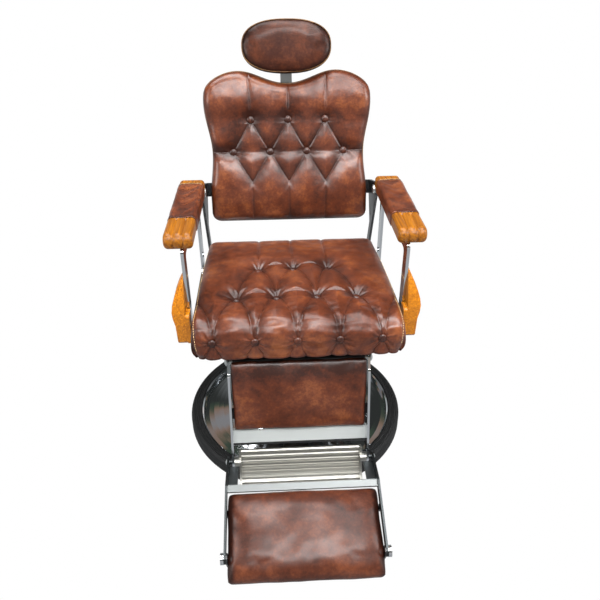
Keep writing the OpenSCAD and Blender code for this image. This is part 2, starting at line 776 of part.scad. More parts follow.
module headrest_shell() {
    color(black) on_back() translate([0, head_at, head_back - 8]) linear_extrude(8)
        polygon([for (a = [0:7.5:352.5]) [cos(a) * (head_w / 2 - 10), sin(a) * (head_h / 2 - 9)]]);
}

// Plate with two lugs and the pin that the headrest tilts on
module headrest_yoke() {
    color(steel) on_back() {
        translate([0, head_at, head_back - 12]) linear_extrude(4) round_rect(70, 50, 8);
        pair() plate(9.4, 6) {
            bar([head_at, tilt_d], [head_at, head_back - 20], 24);
            translate([head_at - 12, head_back - 22]) square([24, 11]);
        }
        cross_rod(-18, 18, [head_at, tilt_d], 6);
    }
}

// ---- Leg rest ------------------------------------------------------------------

leg_lean = 8;
module on_leg() {
    translate([0, leg_pivot[0], leg_pivot[1]]) rotate([90 - leg_lean, 0, 0]) children();
}
leg_bar_t = 6;
bar_in = leg_w / 2 - leg_bar_t;
calf_h = 200;
calf_half = bar_in - 1;
tube_spot = [-252, 2];
tube_at = leg_pivot + [tube_spot[0] * sin(leg_lean) - tube_spot[1] * cos(leg_lean),
                        tube_spot[0] * cos(leg_lean) + tube_spot[1] * sin(leg_lean)];

module leg_bars() {
    color(chrome) on_leg() pair() plate(bar_in, leg_bar_t) difference() {
        union() {
            bar([0, 0], [-34, 12], 28);
            bar([-34, 12], [-287, 38], 30);
            bar([-252, 34], tube_spot, 24);
        }
        circle(8 + fit);
        for (p = [tube_spot, [-290, 38]]) translate(p) circle(5);
    }
}

module calf_pad() {
    cols = 14;
    rows = 12;
    grid = [for (j = [0:rows]) [for (i = [0:cols])
        let (u = 2 * i / cols - 1, v = 2 * j / rows - 1, e = (1 - pow(abs(u), 6)) * (1 - pow(abs(v), 6)))
        [u * (calf_half - 2) * (1 - 0.01 * v * v), -calf_h / 2 + v * (calf_h / 2 - 1) * (1 - 0.01 * u * u), 20 + 12 * sqrt(e)]]];
    edge = edge_of(grid);
    full = [for (p = edge) [p[0] * 1.008, p[1], 17]];
    rear = [for (p = edge) [p[0] * 0.99, -calf_h / 2 + (p[1] + calf_h / 2) * 0.98, 12]];
    color(leather) on_leg() padded(grid, [full, rear], [0, -calf_h / 2, 12]);
}

module calf_board() {
    color(black) on_leg() {
        translate([0, -103, 2]) linear_extrude(10) round_rect(2 * bar_in - 12, 178, 10);
        translate([-bar_in, -170, 2]) cube([2 * bar_in, 30, 8]);
    }
}

// Satin steel plate under the calf pad, its ends turned back to the side bars
module shin_plate() {
    color(steel) on_leg() {
        translate([-bar_in, -244, 14]) cube([2 * bar_in, 42, 3]);
        pair() translate([bar_in - 3, -238, 6]) cube([3, 36, 9]);
    }
}

// The tread's profile at k, from its top (0) to its foot (1): a scoop that sweeps forwards
tread_top = -262;
tread_sweep = 72;
function tread_at(k) = [tread_top - 102 * sin(tread_sweep * k), 26 + 66 * (1 - cos(tread_sweep * k))];
function tread_side(k) = [-sin(tread_sweep * k), -cos(tread_sweep * k)];
module tread_casting() {
    ribs = 8;
    fine = 6;
    rib = [0, 1, 1, 0.4, 0, 0];
    face = [for (k = [0:ribs * fine]) let (t = k / (ribs * fine)) tread_at(t) - tread_side(t) * 3.2 * rib[k % fine]];
    rear = [for (k = [12:-1:0]) tread_at(k / 12) + tread_side(k / 12) * 6];
    cheek = [for (k = [0:12]) tread_at(k / 12) - tread_side(k / 12) * 9];
    color(alloy) on_leg() {
        plate(-161, 322) polygon(concat(face, rear));
        for (x = [-80, 74]) plate(x, 6) polygon(concat([for (k = [1:11]) tread_at(k / 12) + tread_side(k / 12) * 5],
            [[tread_top - 84, 14], [tread_top - 14, 14]]));
        pair() difference() {
            union() {
                plate(161, 6) polygon(concat(cheek, rear));
                plate(161, bar_in - 161) bar([-290, 34], [-290, 40], 22);
            }
            plate(165, 20) translate([-290, 38]) circle(5);
        }
    }
}

arm_in = 194;
arm_t2 = 5;
foot_lean = 23.4;
leg_bolt = [leg_pivot[0] - 290 * sin(leg_lean) - 38 * cos(leg_lean), leg_pivot[1] - 290 * cos(leg_lean) + 38 * sin(leg_lean)];
function on_foot_at(p) = foot_pivot + [p[0] * cos(foot_lean) - p[1] * sin(foot_lean), p[0] * sin(foot_lean) + p[1] * cos(foot_lean)];
stop_peg = on_foot_at([112, -30 - 5 - 0.3]);

// Flat arms that carry the foot pad, each with a gusset beside the tread and a stop peg for the pan
gusset_x = 168;
gusset_t = 5;
module foot_arms() {
    color(chrome) pair() {
        plate(arm_in, arm_t2) difference() {
            union() {
                bar(leg_bolt, foot_rest_bar, 28);
                bar(foot_rest_bar, foot_pivot, 26);
                bar(on_foot_at([112, -6]), stop_peg, 15);
            }
            for (p = [leg_bolt, foot_pivot]) translate(p) circle(p == foot_pivot ? 6 : 5);
        }
        difference() {
            cross_rod(leg_w / 2, arm_in, leg_bolt, 8);
            cross_rod(leg_w / 2 - 1, arm_in + 1, leg_bolt, 5);
        }
        cross_rod(170, arm_in + 1, stop_peg, 5);
        plate(gusset_x, arm_in - gusset_x + 1) bar(leg_bolt + [-24, 4], foot_rest_bar + [15, -2], gusset_t);
    }
}

module foot_crossbar() {
    color(chrome) plate(-arm_in, 2 * arm_in) translate(foot_rest_bar) rotate(foot_lean) round_rect(20, 7, 2);
}

// Tube across the leg rest, with two brackets whose pins the link rods turn on
module link_brackets() {
    color(black) {
        cross_rod(-bar_in, bar_in, tube_at, 9);
        pair() {
            plate(rod_x + 10, 8) bar(tube_at + [8, -1], link_front, 26);
            cross_rod(rod_x - 12, rod_x + 14, link_front, 7);
            cross_rod(rod_x - 14, rod_x - 8.6, link_front, 11);
        }
    }
}

module leg_bolts() {
    color(steel) pair() {
        cross_rod(165, arm_in + arm_t2, leg_bolt, 5);
        dome_head(arm_in + arm_t2, leg_bolt, 9, 5);
        cross_rod(bar_in, leg_w / 2, tube_at, 5);
        dome_head(leg_w / 2, tube_at, 8, 4);
    }
}

// ---- Foot pad ------------------------------------------------------------------

module on_foot() {
    translate([0, foot_pivot[0], foot_pivot[1]]) rotate([foot_lean, 0, 0]) children();
}
foot_half = foot_w / 2 - 1;
pad_y = [-52, 157];

module foot_cushion() {
    cols = 14;
    rows = 12;
    mid = (pad_y[0] + pad_y[1]) / 2;
    half = (pad_y[1] - pad_y[0]) / 2;
    grid = [for (j = [0:rows]) [for (i = [0:cols])
        let (u = 2 * i / cols - 1, v = 2 * j / rows - 1, e = (1 - pow(abs(u), 8)) * (1 - pow(abs(v), 8)))
        [u * (foot_half - 2), mid + v * (half - 2), -3 + 16 * sqrt(e)]]];
    edge = edge_of(grid);
    full = [for (p = edge) [p[0] * 1.01, mid + (p[1] - mid) * 1.018, -10]];
    rear = [for (p = edge) [p[0] * 0.99, mid + (p[1] - mid) * 0.98, -26]];
    color(leather) on_foot() padded(grid, [full, rear], [0, mid, -26]);
}

// Pressed pan under the pad, with an ear at each side for the pivot
module foot_pan() {
    color(chrome) on_foot() {
        translate([-foot_half, pad_y[0] + 4, -30]) cube([2 * foot_half, pad_y[1] - pad_y[0] - 8, 4]);
        pair() difference() {
            plate(foot_half + 0.5, 3) {
                circle(13);
                translate([-13, -30]) square([26, 30]);
            }
            cross_rod(foot_half - 1, foot_half + 6, [0, 0], 6 + fit);
        }
        pair() translate([foot_half - 12, -13, -30]) cube([14, 26, 3.5]);
    }
}

// Ribbed end caps and pins that the foot pad flips on
module foot_caps() {
    color(chrome) pair() {
        cross_rod(foot_half + 0.6, arm_in + arm_t2, foot_pivot, 6);
        difference() {
            cross_rod(arm_in + arm_t2, arm_in + arm_t2 + 8, foot_pivot, 14);
            for (k = [1:3]) translate([arm_in + arm_t2 + k * 2, foot_pivot[0], foot_pivot[1]])
                rotate([0, 90, 0]) rotate_extrude() translate([14.6, 0]) circle(1, $fn = 16);
        }
    }
}

// ---- One line for each piece ---------------------------------------------------

base_plate();
base_ring();
base_dish();
pump_barrel();
gland_ring();
flange_bolts();
pump_block();
pedal_arm();
pedal_pad();
ram_tube();
thrust_washer();
swivel_hub();
seat_frame();
leg_hinge_shaft();
seat_board();
seat_cushion();
seat_buttons();
arm_frame_left();
arm_frame_right();
arm_wood_left();
arm_wood_right();
arm_pad_left();
arm_pad_right();
side_board_left();
side_board_right();
frame_bolts();
recline_bolts();
gas_cylinder();
lever_bracket();
recline_shaft();
recline_grip();
back_cushion();
back_board();
back_buttons();
back_rail();
side_levers();
lever_crossbar();
headrest_clamp();
headrest_knob();
gas_rod();
link_rods();
headrest_bar();
headrest_cushion();
headrest_shell();
headrest_yoke();
leg_bars();
calf_pad();
calf_board();
shin_plate();
tread_casting();
foot_arms();
foot_crossbar();
link_brackets();
leg_bolts();
foot_cushion();
foot_pan();
foot_caps();
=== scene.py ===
"""A hydraulic barber chair, dressed round its packed construction."""
import math

import bmesh
import bpy
import numpy as np
from mathutils import Matrix, Vector, noise
from mathutils.bvhtree import BVHTree


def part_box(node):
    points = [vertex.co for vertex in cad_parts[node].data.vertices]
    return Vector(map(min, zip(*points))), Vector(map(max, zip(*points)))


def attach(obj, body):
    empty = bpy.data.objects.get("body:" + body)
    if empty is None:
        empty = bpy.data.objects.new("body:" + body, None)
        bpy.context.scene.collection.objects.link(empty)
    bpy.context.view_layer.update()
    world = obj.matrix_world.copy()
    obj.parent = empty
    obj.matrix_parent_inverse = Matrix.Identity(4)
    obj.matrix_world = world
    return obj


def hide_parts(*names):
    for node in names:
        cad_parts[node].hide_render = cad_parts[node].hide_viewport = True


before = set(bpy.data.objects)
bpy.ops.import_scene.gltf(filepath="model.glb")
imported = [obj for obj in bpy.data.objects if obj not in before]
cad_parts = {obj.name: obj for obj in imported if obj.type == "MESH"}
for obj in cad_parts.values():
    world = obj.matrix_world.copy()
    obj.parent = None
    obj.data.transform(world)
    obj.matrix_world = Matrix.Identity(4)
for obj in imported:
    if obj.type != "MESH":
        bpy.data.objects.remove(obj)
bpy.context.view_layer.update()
MM = 0.001

# ---- Camera --------------------------------------------------------------------
# A wide view from a standing person's eye in front of the chair, looking down at the seat.
# The lens takes in as much as it is long, so the frame is as wide as the distance to it.
camera_data = bpy.data.cameras.new("camera")
camera_data.lens = 36.0
camera_data.sensor_width = 36.0
camera = bpy.data.objects.new("camera", camera_data)
bpy.context.scene.collection.objects.link(camera)
camera_place = (-0.0578, -1.5158, 1.3725)
camera_turn = math.radians(-2.85)
camera_dip = math.radians(31.71)
camera_roll = math.radians(-0.27)
camera.matrix_world = (Matrix.Translation(camera_place)
                       @ Matrix.Rotation(camera_turn, 4, "Z")
                       @ Matrix.Rotation(math.pi / 2 - camera_dip, 4, "X")
                       @ Matrix.Rotation(camera_roll, 4, "Z"))
bpy.context.scene.camera = camera
bpy.context.scene.view_settings.view_transform = "Standard"


# ---- Room ----------------------------------------------------------------------
# A white floor that runs to the horizon, under a white sky, two strip lamps and two side boxes.
# Metal and leather mirror a dim hall instead, and the camera sees plain white behind the chair.
def linear(colour):
    """An sRGB hex colour as linear red, green, blue and alpha."""
    parts = [int(colour[k:k + 2], 16) / 255 for k in (1, 3, 5)]
    return [p / 12.92 if p <= 0.04045 else ((p + 0.055) / 1.055) ** 2.4 for p in parts] + [1.0]


def add_node(tree, kind, inputs=None, **settings):
    """Adds a node, sets its properties, and sets or links its inputs."""
    node = tree.nodes.new(kind)
    for name, value in settings.items():
        setattr(node, name, value)
    for name, value in (inputs or {}).items():
        if isinstance(value, bpy.types.NodeSocket):
            tree.links.new(value, node.inputs[name])
        else:
            node.inputs[name].default_value = value
    return node


def set_stops(ramp, *stops):
    """Gives a colour ramp its stops, each a position and a colour."""
    elements = ramp.color_ramp.elements
    for element, (position, colour) in zip(elements, (stops[0], stops[-1])):
        element.position = position
        element.color = colour
    for position, colour in stops[1:-1]:
        elements.new(position).color = colour


def pale_where_seen(tree, lit, mirrored):
    """Shows plain white to the camera, mirrored to rays off metal and varnish, and lit to all others."""
    path = add_node(tree, "ShaderNodeLightPath")
    white = add_node(tree, "ShaderNodeEmission", {"Color": linear("#ffffff"), "Strength": 1.0})
    off_metal = add_node(tree, "ShaderNodeMixShader", {0: path.outputs["Is Glossy Ray"], 1: lit, 2: mirrored})
    return add_node(tree, "ShaderNodeMixShader", {0: path.outputs["Is Camera Ray"], 1: off_metal.outputs[0],
                                                  2: white.outputs[0]})


world = bpy.data.worlds.new("studio")
bpy.context.scene.world = world
world.use_nodes = True
studio = world.node_tree
studio.nodes.clear()
sky = add_node(studio, "ShaderNodeBackground", {"Color": linear("#f4f6f8"), "Strength": 0.26})
sky_way = add_node(studio, "ShaderNodeTexCoord").outputs["Generated"]
sky_height = add_node(studio, "ShaderNodeSeparateXYZ", {0: sky_way})
hall = add_node(studio, "ShaderNodeValToRGB", {"Fac": sky_height.outputs["Z"]})
set_stops(hall, (0.02, (0.62, 0.64, 0.65, 1.0)), (0.20, (0.30, 0.31, 0.31, 1.0)),
          (0.50, (0.035, 0.038, 0.036, 1.0)))
clutter = add_node(studio, "ShaderNodeTexNoise", {"Vector": sky_way, "Scale": 3.4, "Detail": 1.5})
shapes = add_node(studio, "ShaderNodeValToRGB", {"Fac": clutter.outputs[0]})
set_stops(shapes, (0.50, (0.0, 0.0, 0.0, 1.0)), (0.55, (0.020, 0.045, 0.022, 1.0)),
          (0.60, (0.26, 0.15, 0.10, 1.0)), (0.66, (0.24, 0.23, 0.24, 1.0)))
hall_view = add_node(studio, "ShaderNodeVectorMath", {0: hall.outputs[0], 1: shapes.outputs[0]},
                     operation="ADD")
hall_light = add_node(studio, "ShaderNodeBackground", {"Color": hall_view.outputs[0], "Strength": 1.0})
sky_mix = pale_where_seen(studio, sky.outputs[0], hall_light.outputs[0])
add_node(studio, "ShaderNodeOutputWorld", {"Surface": sky_mix.outputs[0]})

floor_mesh = bpy.data.meshes.new("floor")
floor_shape = bmesh.new()
bmesh.ops.create_circle(floor_shape, cap_ends=True, segments=64, radius=9.0)
floor_shape.to_mesh(floor_mesh)
floor_shape.free()
floor = bpy.data.objects.new("floor", floor_mesh)
bpy.context.scene.collection.objects.link(floor)
floor_paper = bpy.data.materials.new("white_paper")
floor_paper.use_nodes = True
paper_tree = floor_paper.node_tree
paper_tree.nodes.clear()
paper = add_node(paper_tree, "ShaderNodeBsdfDiffuse", {"Color": linear("#b9b9b9")})
dim_paper = add_node(paper_tree, "ShaderNodeEmission", {"Color": linear("#bcbec0"), "Strength": 1.0})
floor_mix = pale_where_seen(paper_tree, paper.outputs[0], dim_paper.outputs[0])
add_node(paper_tree, "ShaderNodeOutputMaterial", {"Surface": floor_mix.outputs[0]})
floor_mesh.materials.append(floor_paper)


def soft_box(name, place, aim, width, height, power):
    """A rectangular studio lamp at place, pointed at aim."""
    data = bpy.data.lights.new(name, "AREA")
    data.shape = "RECTANGLE"
    data.size = width
    data.size_y = height
    data.energy = power
    lamp = bpy.data.objects.new(name, data)
    lamp.matrix_world = (Matrix.Translation(place)
                         @ (Vector(aim) - Vector(place)).to_track_quat("-Z", "Y").to_matrix().to_4x4())
    bpy.context.scene.collection.objects.link(lamp)


soft_box("rear_strip", (0.1, 0.0, 3.1), (0.05, -0.1, 0.3), 3.6, 1.1, 125)
soft_box("front_strip", (0.2, -2.1, 3.2), (0, -0.2, 0.4), 3.4, 1.0, 165)
soft_box("left_box", (-2.6, -1.0, 1.7), (0, 0, 0.6), 1.0, 1.4, 42)
soft_box("right_box", (2.6, -0.8, 1.8), (0, 0, 0.6), 1.0, 1.4, 46)


# ---- Finishes of the base ------------------------------------------------------
# The bumper is moulded black rubber, the dish is pressed steel with bright chrome,
# and the pump body and frames are dipped in black paint.
def principled(name, colour, metallic, roughness, **sockets):
    """A new material with a Principled shader. Returns the material, its tree and the shader."""
    made = bpy.data.materials.new(name)
    made.use_nodes = True
    tree = made.node_tree
    tree.nodes.clear()
    shader = add_node(tree, "ShaderNodeBsdfPrincipled", {"Base Color": linear(colour), "Metallic": metallic,
                                                         "Roughness": roughness, **sockets})
    add_node(tree, "ShaderNodeOutputMaterial", {"Surface": shader.outputs[0]})
    return made, tree, shader


def object_noise(tree, size_mm, detail=4.0, rough=0.55):
    """Noise fixed to the piece, with features about size_mm across."""
    place = add_node(tree, "ShaderNodeTexCoord")
    inputs = {"Vector": place.outputs["Object"], "Scale": 1 / (size_mm * MM), "Detail": detail,
              "Roughness": rough}
    return add_node(tree, "ShaderNodeTexNoise", inputs).outputs[0]


def vary(tree, socket, fac, low, high):
    """Drives a number socket between low and high."""
    span = add_node(tree, "ShaderNodeMapRange", {"Value": fac, "To Min": low, "To Max": high})
    tree.links.new(span.outputs[0], socket)


def dent(tree, shader, height, depth_mm, strength=1.0, under=None):
    """Raises the shader's surface by a height pattern."""
    inputs = {"Height": height, "Distance": depth_mm * MM, "Strength": strength}
    if under is not None:
        inputs["Normal"] = under
    bump = add_node(tree, "ShaderNodeBump", inputs)
    tree.links.new(bump.outputs[0], shader.inputs["Normal"])
    return bump.outputs[0]


def make_rubber():
    """Moulded black rubber: matt, with a faint bloom and a fine pebbled skin."""
    made, tree, shader = principled("moulded_rubber", "#0f1011", 0.0, 0.6, **{"Specular IOR Level": 0.3})
    vary(tree, shader.inputs["Roughness"], object_noise(tree, 40), 0.5, 0.75)
    dent(tree, shader, object_noise(tree, 1.8), 0.25, 0.5)
    return made


def make_chrome():
    """Bright chrome plate: a mirror, a little hazed where hands and shoes rub it."""
    made, tree, shader = principled("chrome_plate", "#d6d9dc", 1.0, 0.07)
    vary(tree, shader.inputs["Roughness"], object_noise(tree, 60), 0.03, 0.13)
    return made


def make_black_paint():
    """Black dip paint on steel: satin, with a slight orange peel."""
    made, tree, shader = principled("black_dip_paint", "#17181a", 0.0, 0.38,
                                    **{"Coat Weight": 0.3, "Coat Roughness": 0.2})
    dent(tree, shader, object_noise(tree, 4), 0.12, 0.4)
    return made


def finish(material, *nodes):
    """Gives construction pieces their finish."""
    for name in nodes:
        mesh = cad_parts[name].data
        mesh.materials.clear()
        mesh.materials.append(material)


rubber = make_rubber()
chrome = make_chrome()
black_paint = make_black_paint()
finish(rubber, "base_ring", "pedal_pad")
finish(chrome, "base_dish", "gland_ring", "ram_tube", "pedal_arm")
finish(black_paint, "base_plate", "pump_barrel", "pump_block", "swivel_hub", "seat_frame")


# ---- Fasteners, bearings and the seat's carcase --------------------------------
# Zinc-plated bolts and shafts, a turned bronze washer, and a plywood board under the seat,
# stained near-black, which also stands in for the shade under the seat's front. Brackets and
# side levers are painted flat steel, arm frames and leg bars are chromed.
def streaks(tree, sizes_mm, detail, distortion=0.0):
    """Noise drawn out along the piece, with features of the given sizes in x, y and z."""
    place = add_node(tree, "ShaderNodeTexCoord")
    scale = [1 / (size * MM) for size in sizes_mm]
    along = add_node(tree, "ShaderNodeMapping", {"Vector": place.outputs["Object"], "Scale": scale})
    inputs = {"Vector": along.outputs[0], "Scale": 1.0, "Detail": detail, "Distortion": distortion}
    return add_node(tree, "ShaderNodeTexNoise", inputs).outputs[0]


def make_steel():
    """Satin steel: brushed along its length, so it glints in long soft streaks."""
    made, tree, shader = principled("satin_steel", "#c9cdcc", 1.0, 0.42)
    vary(tree, shader.inputs["Roughness"], streaks(tree, (83.333, 2.0, 2.0), 2.0), 0.24, 0.46)
    return made


def make_bronze():
    """Turned bronze, darkened by oil."""
    made, tree, shader = principled("turned_bronze", "#9c7a45", 1.0, 0.35)
    vary(tree, shader.inputs["Roughness"], object_noise(tree, 10), 0.25, 0.5)
    return made


def make_plywood():
    """Birch plywood stained near-black, partly as painted shade under the seat, with thin plies on its edge.
    """
    made, tree, shader = principled("birch_plywood", "#3a332b", 0.0, 0.7)
    place = add_node(tree, "ShaderNodeTexCoord")
    inputs = {"Vector": place.outputs["Object"], "Scale": 160.0, "Distortion": 1.0}
    plies = add_node(tree, "ShaderNodeTexWave", inputs, bands_direction="Z")
    ramp = add_node(tree, "ShaderNodeValToRGB", {"Fac": plies.outputs[0]})
    set_stops(ramp, (0.0, linear("#2b2621")), (1.0, linear("#40382f")))
    tree.links.new(ramp.outputs[0], shader.inputs["Base Color"])
    return made


def make_satin_alloy():
    """Satin aluminium, clear-lacquered, so that it reads pale and even."""
    return principled("satin_alloy", "#d5dad8", 0.40, 0.50)[0]


steel = make_steel()
finish(steel, "flange_bolts", "leg_hinge_shaft", "frame_bolts", "recline_bolts")
finish(make_bronze(), "thrust_washer")
finish(make_plywood(), "seat_board")
finish(black_paint, "gas_cylinder", "lever_bracket", "back_rail", "side_levers", "link_brackets",
       "headrest_clamp")
finish(chrome, "arm_frame_left", "arm_frame_right", "recline_shaft", "gas_rod", "link_rods", "lever_crossbar",
       "leg_bars", "foot_caps")
finish(steel, "headrest_bar", "headrest_yoke", "leg_bolts")
finish(make_satin_alloy(), "shin_plate")
finish(rubber, "recline_grip", "headrest_knob")


# ---- Finish of the wood and the leather ----------------------------------------
# Arms and side boards are ash under amber varnish. The hides are dyed dark, sponged lighter and
# burnished by use, and the boards behind them are covered in black vinyl. The foot end's casting,
# crossbar and arms are brushed metal.
def make_wood(name, low, high):
    """Ash under amber varnish: long grain along the arm, glossy."""
    made, tree, shader = principled(name, high, 0.0, 0.36, **{"Specular IOR Level": 0.3})
    grain = streaks(tree, (4.54545, 111.111, 4.54545), 5.0, 0.6)
    ramp = add_node(tree, "ShaderNodeValToRGB", {"Fac": grain})
    set_stops(ramp, (0.3, linear(low)), (0.68, linear(high)))
    tree.links.new(ramp.outputs[0], shader.inputs["Base Color"])
    dent(tree, shader, grain, 0.3, 0.3)
    return made


def pebbles(tree, size_mm):
    """The pebbled grain of a hide or of vinyl, coarser than life so that it shows."""
    place = add_node(tree, "ShaderNodeTexCoord")
    inputs = {"Vector": place.outputs["Object"], "Scale": 1 / (size_mm * MM)}
    return add_node(tree, "ShaderNodeTexVoronoi", inputs).outputs["Distance"]


def make_vinyl():
    """Black upholstery vinyl, drawn tight over a board, with a fine pebbled grain."""
    made, tree, shader = principled("black_vinyl", "#161617", 0.0, 0.5)
    vary(tree, shader.inputs["Roughness"], object_noise(tree, 25), 0.38, 0.58)
    dent(tree, shader, pebbles(tree, 2.63158), 0.3, 0.5)
    return made


def make_leather(name, low, middle, high, shine=1.0):
    """Antique-finish hide: dark dye sponged over a lighter brown and burnished in broad patches,
    with painted shade darkening it where the mesh's crease attribute is high."""
    made, tree, shader = principled(name, middle, 0.0, 0.40,
                                    **{"Coat Roughness": 0.24, "Specular IOR Level": 0.36 * shine})
    fine = object_noise(tree, 7, 5.0, 0.65)
    patches = object_noise(tree, 32, 3.0, 0.6)
    broad = object_noise(tree, 120, 2.0, 0.5)
    large = add_node(tree, "ShaderNodeMix", {0: 0.5, 2: patches, 3: broad})
    both = add_node(tree, "ShaderNodeMix", {0: 0.72, 2: fine, 3: large.outputs[0]})
    crease = add_node(tree, "ShaderNodeAttribute", attribute_name="crease")
    # Painted shade: the crease attribute darkens the colour in folds, pits, rolled edges and shaded places.
    inputs = {0: crease.outputs["Fac"], 1: -0.20, 2: both.outputs[0]}
    shade = add_node(tree, "ShaderNodeMath", inputs, operation="MULTIPLY_ADD")
    ramp = add_node(tree, "ShaderNodeValToRGB", {"Fac": shade.outputs[0]})
    set_stops(ramp, (0.33, linear(low)), (0.49, linear(middle)), (0.64, linear(high)))
    tree.links.new(ramp.outputs[0], shader.inputs["Base Color"])
    vary(tree, shader.inputs["Roughness"], fine, 0.30, 0.46)
    inputs = {"Value": broad, "From Min": 0.36, "From Max": 0.64, "To Min": 0.0, "To Max": 0.48 * shine}
    burnish = add_node(tree, "ShaderNodeMapRange", inputs)
    tree.links.new(burnish.outputs[0], shader.inputs["Coat Weight"])
    first = dent(tree, shader, pebbles(tree, 2.38095), 0.25, 0.3)
    dent(tree, shader, object_noise(tree, 7, 3.0), 0.5, 0.3, first)
    return made


def make_thread():
    """Waxed tan thread."""
    return principled("tan_thread", "#cfae7c", 0.0, 0.6)[0]


def make_brushed(name, colour, roughness):
    """A scuffed metal skin with fine scratches across the chair."""
    made, tree, shader = principled(name, colour, 1.0, roughness)
    lines = streaks(tree, (71.4286, 3.84615, 3.84615), 3.0)
    both = add_node(tree, "ShaderNodeMix", {0: 0.5, 2: lines, 3: object_noise(tree, 30)})
    vary(tree, shader.inputs["Roughness"], both.outputs[0], roughness - 0.14, roughness + 0.14)
    dent(tree, shader, lines, 0.08, 0.25)
    return made


# The arms' ash is painted darker than the side boards' copy below, as shade on their lamp-lit tops.
wood = make_wood("varnished_ash", "#60340a", "#985d0e")
leather = make_leather("antique_leather", "#2c1108", "#552611", "#7c421e")
# The headrest's hide is the same leather painted darker, as shade, and less shiny.
head_shaded_leather = make_leather("head_shaded_antique_leather", "#1a0b07", "#371a10", "#532a18", 0.4)
# The foot pad's hide is the same leather painted darker, as shade against the lamps overhead.
foot_leather = make_leather("foot_shaded_antique_leather", "#230f09", "#452012", "#63331c", 0.75)
# The piping is a lighter leather, which also paints a highlight line along the seams.
piping = make_leather("lighter_piping", "#3a2412", "#5f4122", "#7d5c34", 0.6)
thread = make_thread()
finish(make_vinyl(), "back_board", "headrest_shell", "calf_board")
# The side boards get a lighter copy of the arms' ash: painted light on their upright faces.
finish(make_wood("varnished_board_painted_lighter", "#84490c", "#c67b12"), "side_board_left", "side_board_right")
finish(make_brushed("brushed_strip", "#6c6f6f", 0.40), "foot_crossbar")
# The foot arms get a darker copy of the crossbar's brushed metal: painted shade that keeps the lamps'
# reflection in them dim.
finish(make_brushed("brushed_arm_painted_darker", "#3f4243", 0.40), "foot_arms")
# The foot pan is painted black, which also stands in for the shade beside the foot pad.
finish(black_paint, "foot_pan")
finish(make_brushed("polished_casting", "#aaa9a3", 0.40), "tread_casting")


# ---- Seat cushion --------------------------------------------------------------
# A deep foam block under antique leather, rolled over at the front. Two rows of deep tufts
# are sewn through it, buttons hold the front, and folded arches run down from tuft to tuft.
def arc(distance, reach):
    """A round rise: 0 at a crease, 1 from reach onwards."""
    t = np.clip(distance / reach, 0.0, 1.0)
    return np.sqrt(1 - (1 - t) ** 2)


def crease(distance, reach, power=2.0):
    """How deep a sharp fold is at some distance from it: 1 in the fold, 0 from reach onwards."""
    return (1 - np.clip(distance / reach, 0.0, 1.0)) ** power


def gap_to_line(points, path):
    """How far points lie from a polyline, how far along it they are (0 to 1), and on which side
    (1 on its left, -1 on its right)."""
    path = np.array(path)
    best = np.full(len(points), 1e9)
    along = np.zeros(len(points))
    side = np.ones(len(points))
    steps = len(path) - 1
    for index in range(steps):
        run = path[index + 1] - path[index]
        off = points - path[index]
        part = np.clip((off @ run) / (run @ run), 0.0, 1.0)
        gap = np.linalg.norm(off - part[:, None] * run, axis=1)
        near = gap < best
        best = np.where(near, gap, best)
        along = np.where(near, (index + part) / steps, along)
        side = np.where(near, np.sign(run[0] * off[:, 1] - run[1] * off[:, 0]), side)
    return best, along, side


def pit_drop(points, buttons, depth, reach):
    """How far a button at each place draws the face down."""
    drop = np.zeros(len(points))
    for button in buttons:
        drop = np.maximum(drop, depth * crease(np.linalg.norm(points - button, axis=1), reach, 2.6))
    return drop


def pleat_drop(points, pleats, depth, reach, ends=1.0, far_reach=None):
    """How far each sewn fold draws the face down: depth in its middle, ends times that where it
    starts and stops, and a wider slope on its right side if far_reach is given."""
    drop = np.zeros(len(points))
    for path in pleats:
        gap, along, side = gap_to_line(points, path)
        local = depth * (1 + (ends - 1) * np.abs(2 * along - 1) ** 2)
        wide = reach if far_reach is None else np.where(side > 0, reach, far_reach)
        fold_line = min(0.0016, depth / 2) * crease(gap, 0.0042, 1.0)
        drop = np.maximum(drop, local * 0.85 * crease(gap, wide) + fold_line)
    return drop


def arch(top, foot, straight=0.55, steps=9):
    """Half an arch: level where it leaves its top, upright where it meets its foot."""
    angles = np.linspace(0, math.pi / 2, steps)
    round_part = np.stack([np.sin(angles), 1 - np.cos(angles)], 1)
    plain = np.stack([angles / angles[-1]] * 2, 1)
    mixed = straight * plain + (1 - straight) * round_part
    return np.array(top) + mixed * (np.array(foot) - np.array(top))


def bow(start, end, rise, steps=9):
    """A shallow curve from start to end that rises by rise in the second direction."""
    t = np.linspace(0, 1, steps)[:, None]
    straight = np.array(start) + t * (np.array(end) - np.array(start))
    return straight + np.sin(math.pi * t) * np.array([[0, rise]])


def gathers(points, buttons, height, reach, count, turn):
    """Small puckers that fan out from each button and fade away."""
    total = np.zeros(len(points))
    for index, button in enumerate(buttons):
        off = points - button
        radius = np.linalg.norm(off, axis=1)
        angle = np.arctan2(off[:, 1], off[:, 0])
        fade = np.exp(-(radius / reach) ** 2) * (1 - np.exp(-(radius / 0.014) ** 2))
        wide, narrow = np.sin(count * angle + turn * index), np.sin((2 * count - 3) * angle - turn * index)
        total += height * fade * (wide + 0.5 * narrow)
    return total


def cloth_noise(points, size, seed):
    """Smooth noise of about -0.5 to 0.5 with features of the given size."""
    shift = Vector((seed * 7.3, seed * 3.1, seed * 1.7))
    return np.array([noise.noise(Vector((p[0], p[1], p[2])) / size + shift) for p in points])


def close_pairs(row_a, row_b, reach):
    """The pairs of buttons of two rows that lie side by side."""
    return [(a, b) for a in row_a for b in row_b if abs(a[0] - b[0]) < reach]


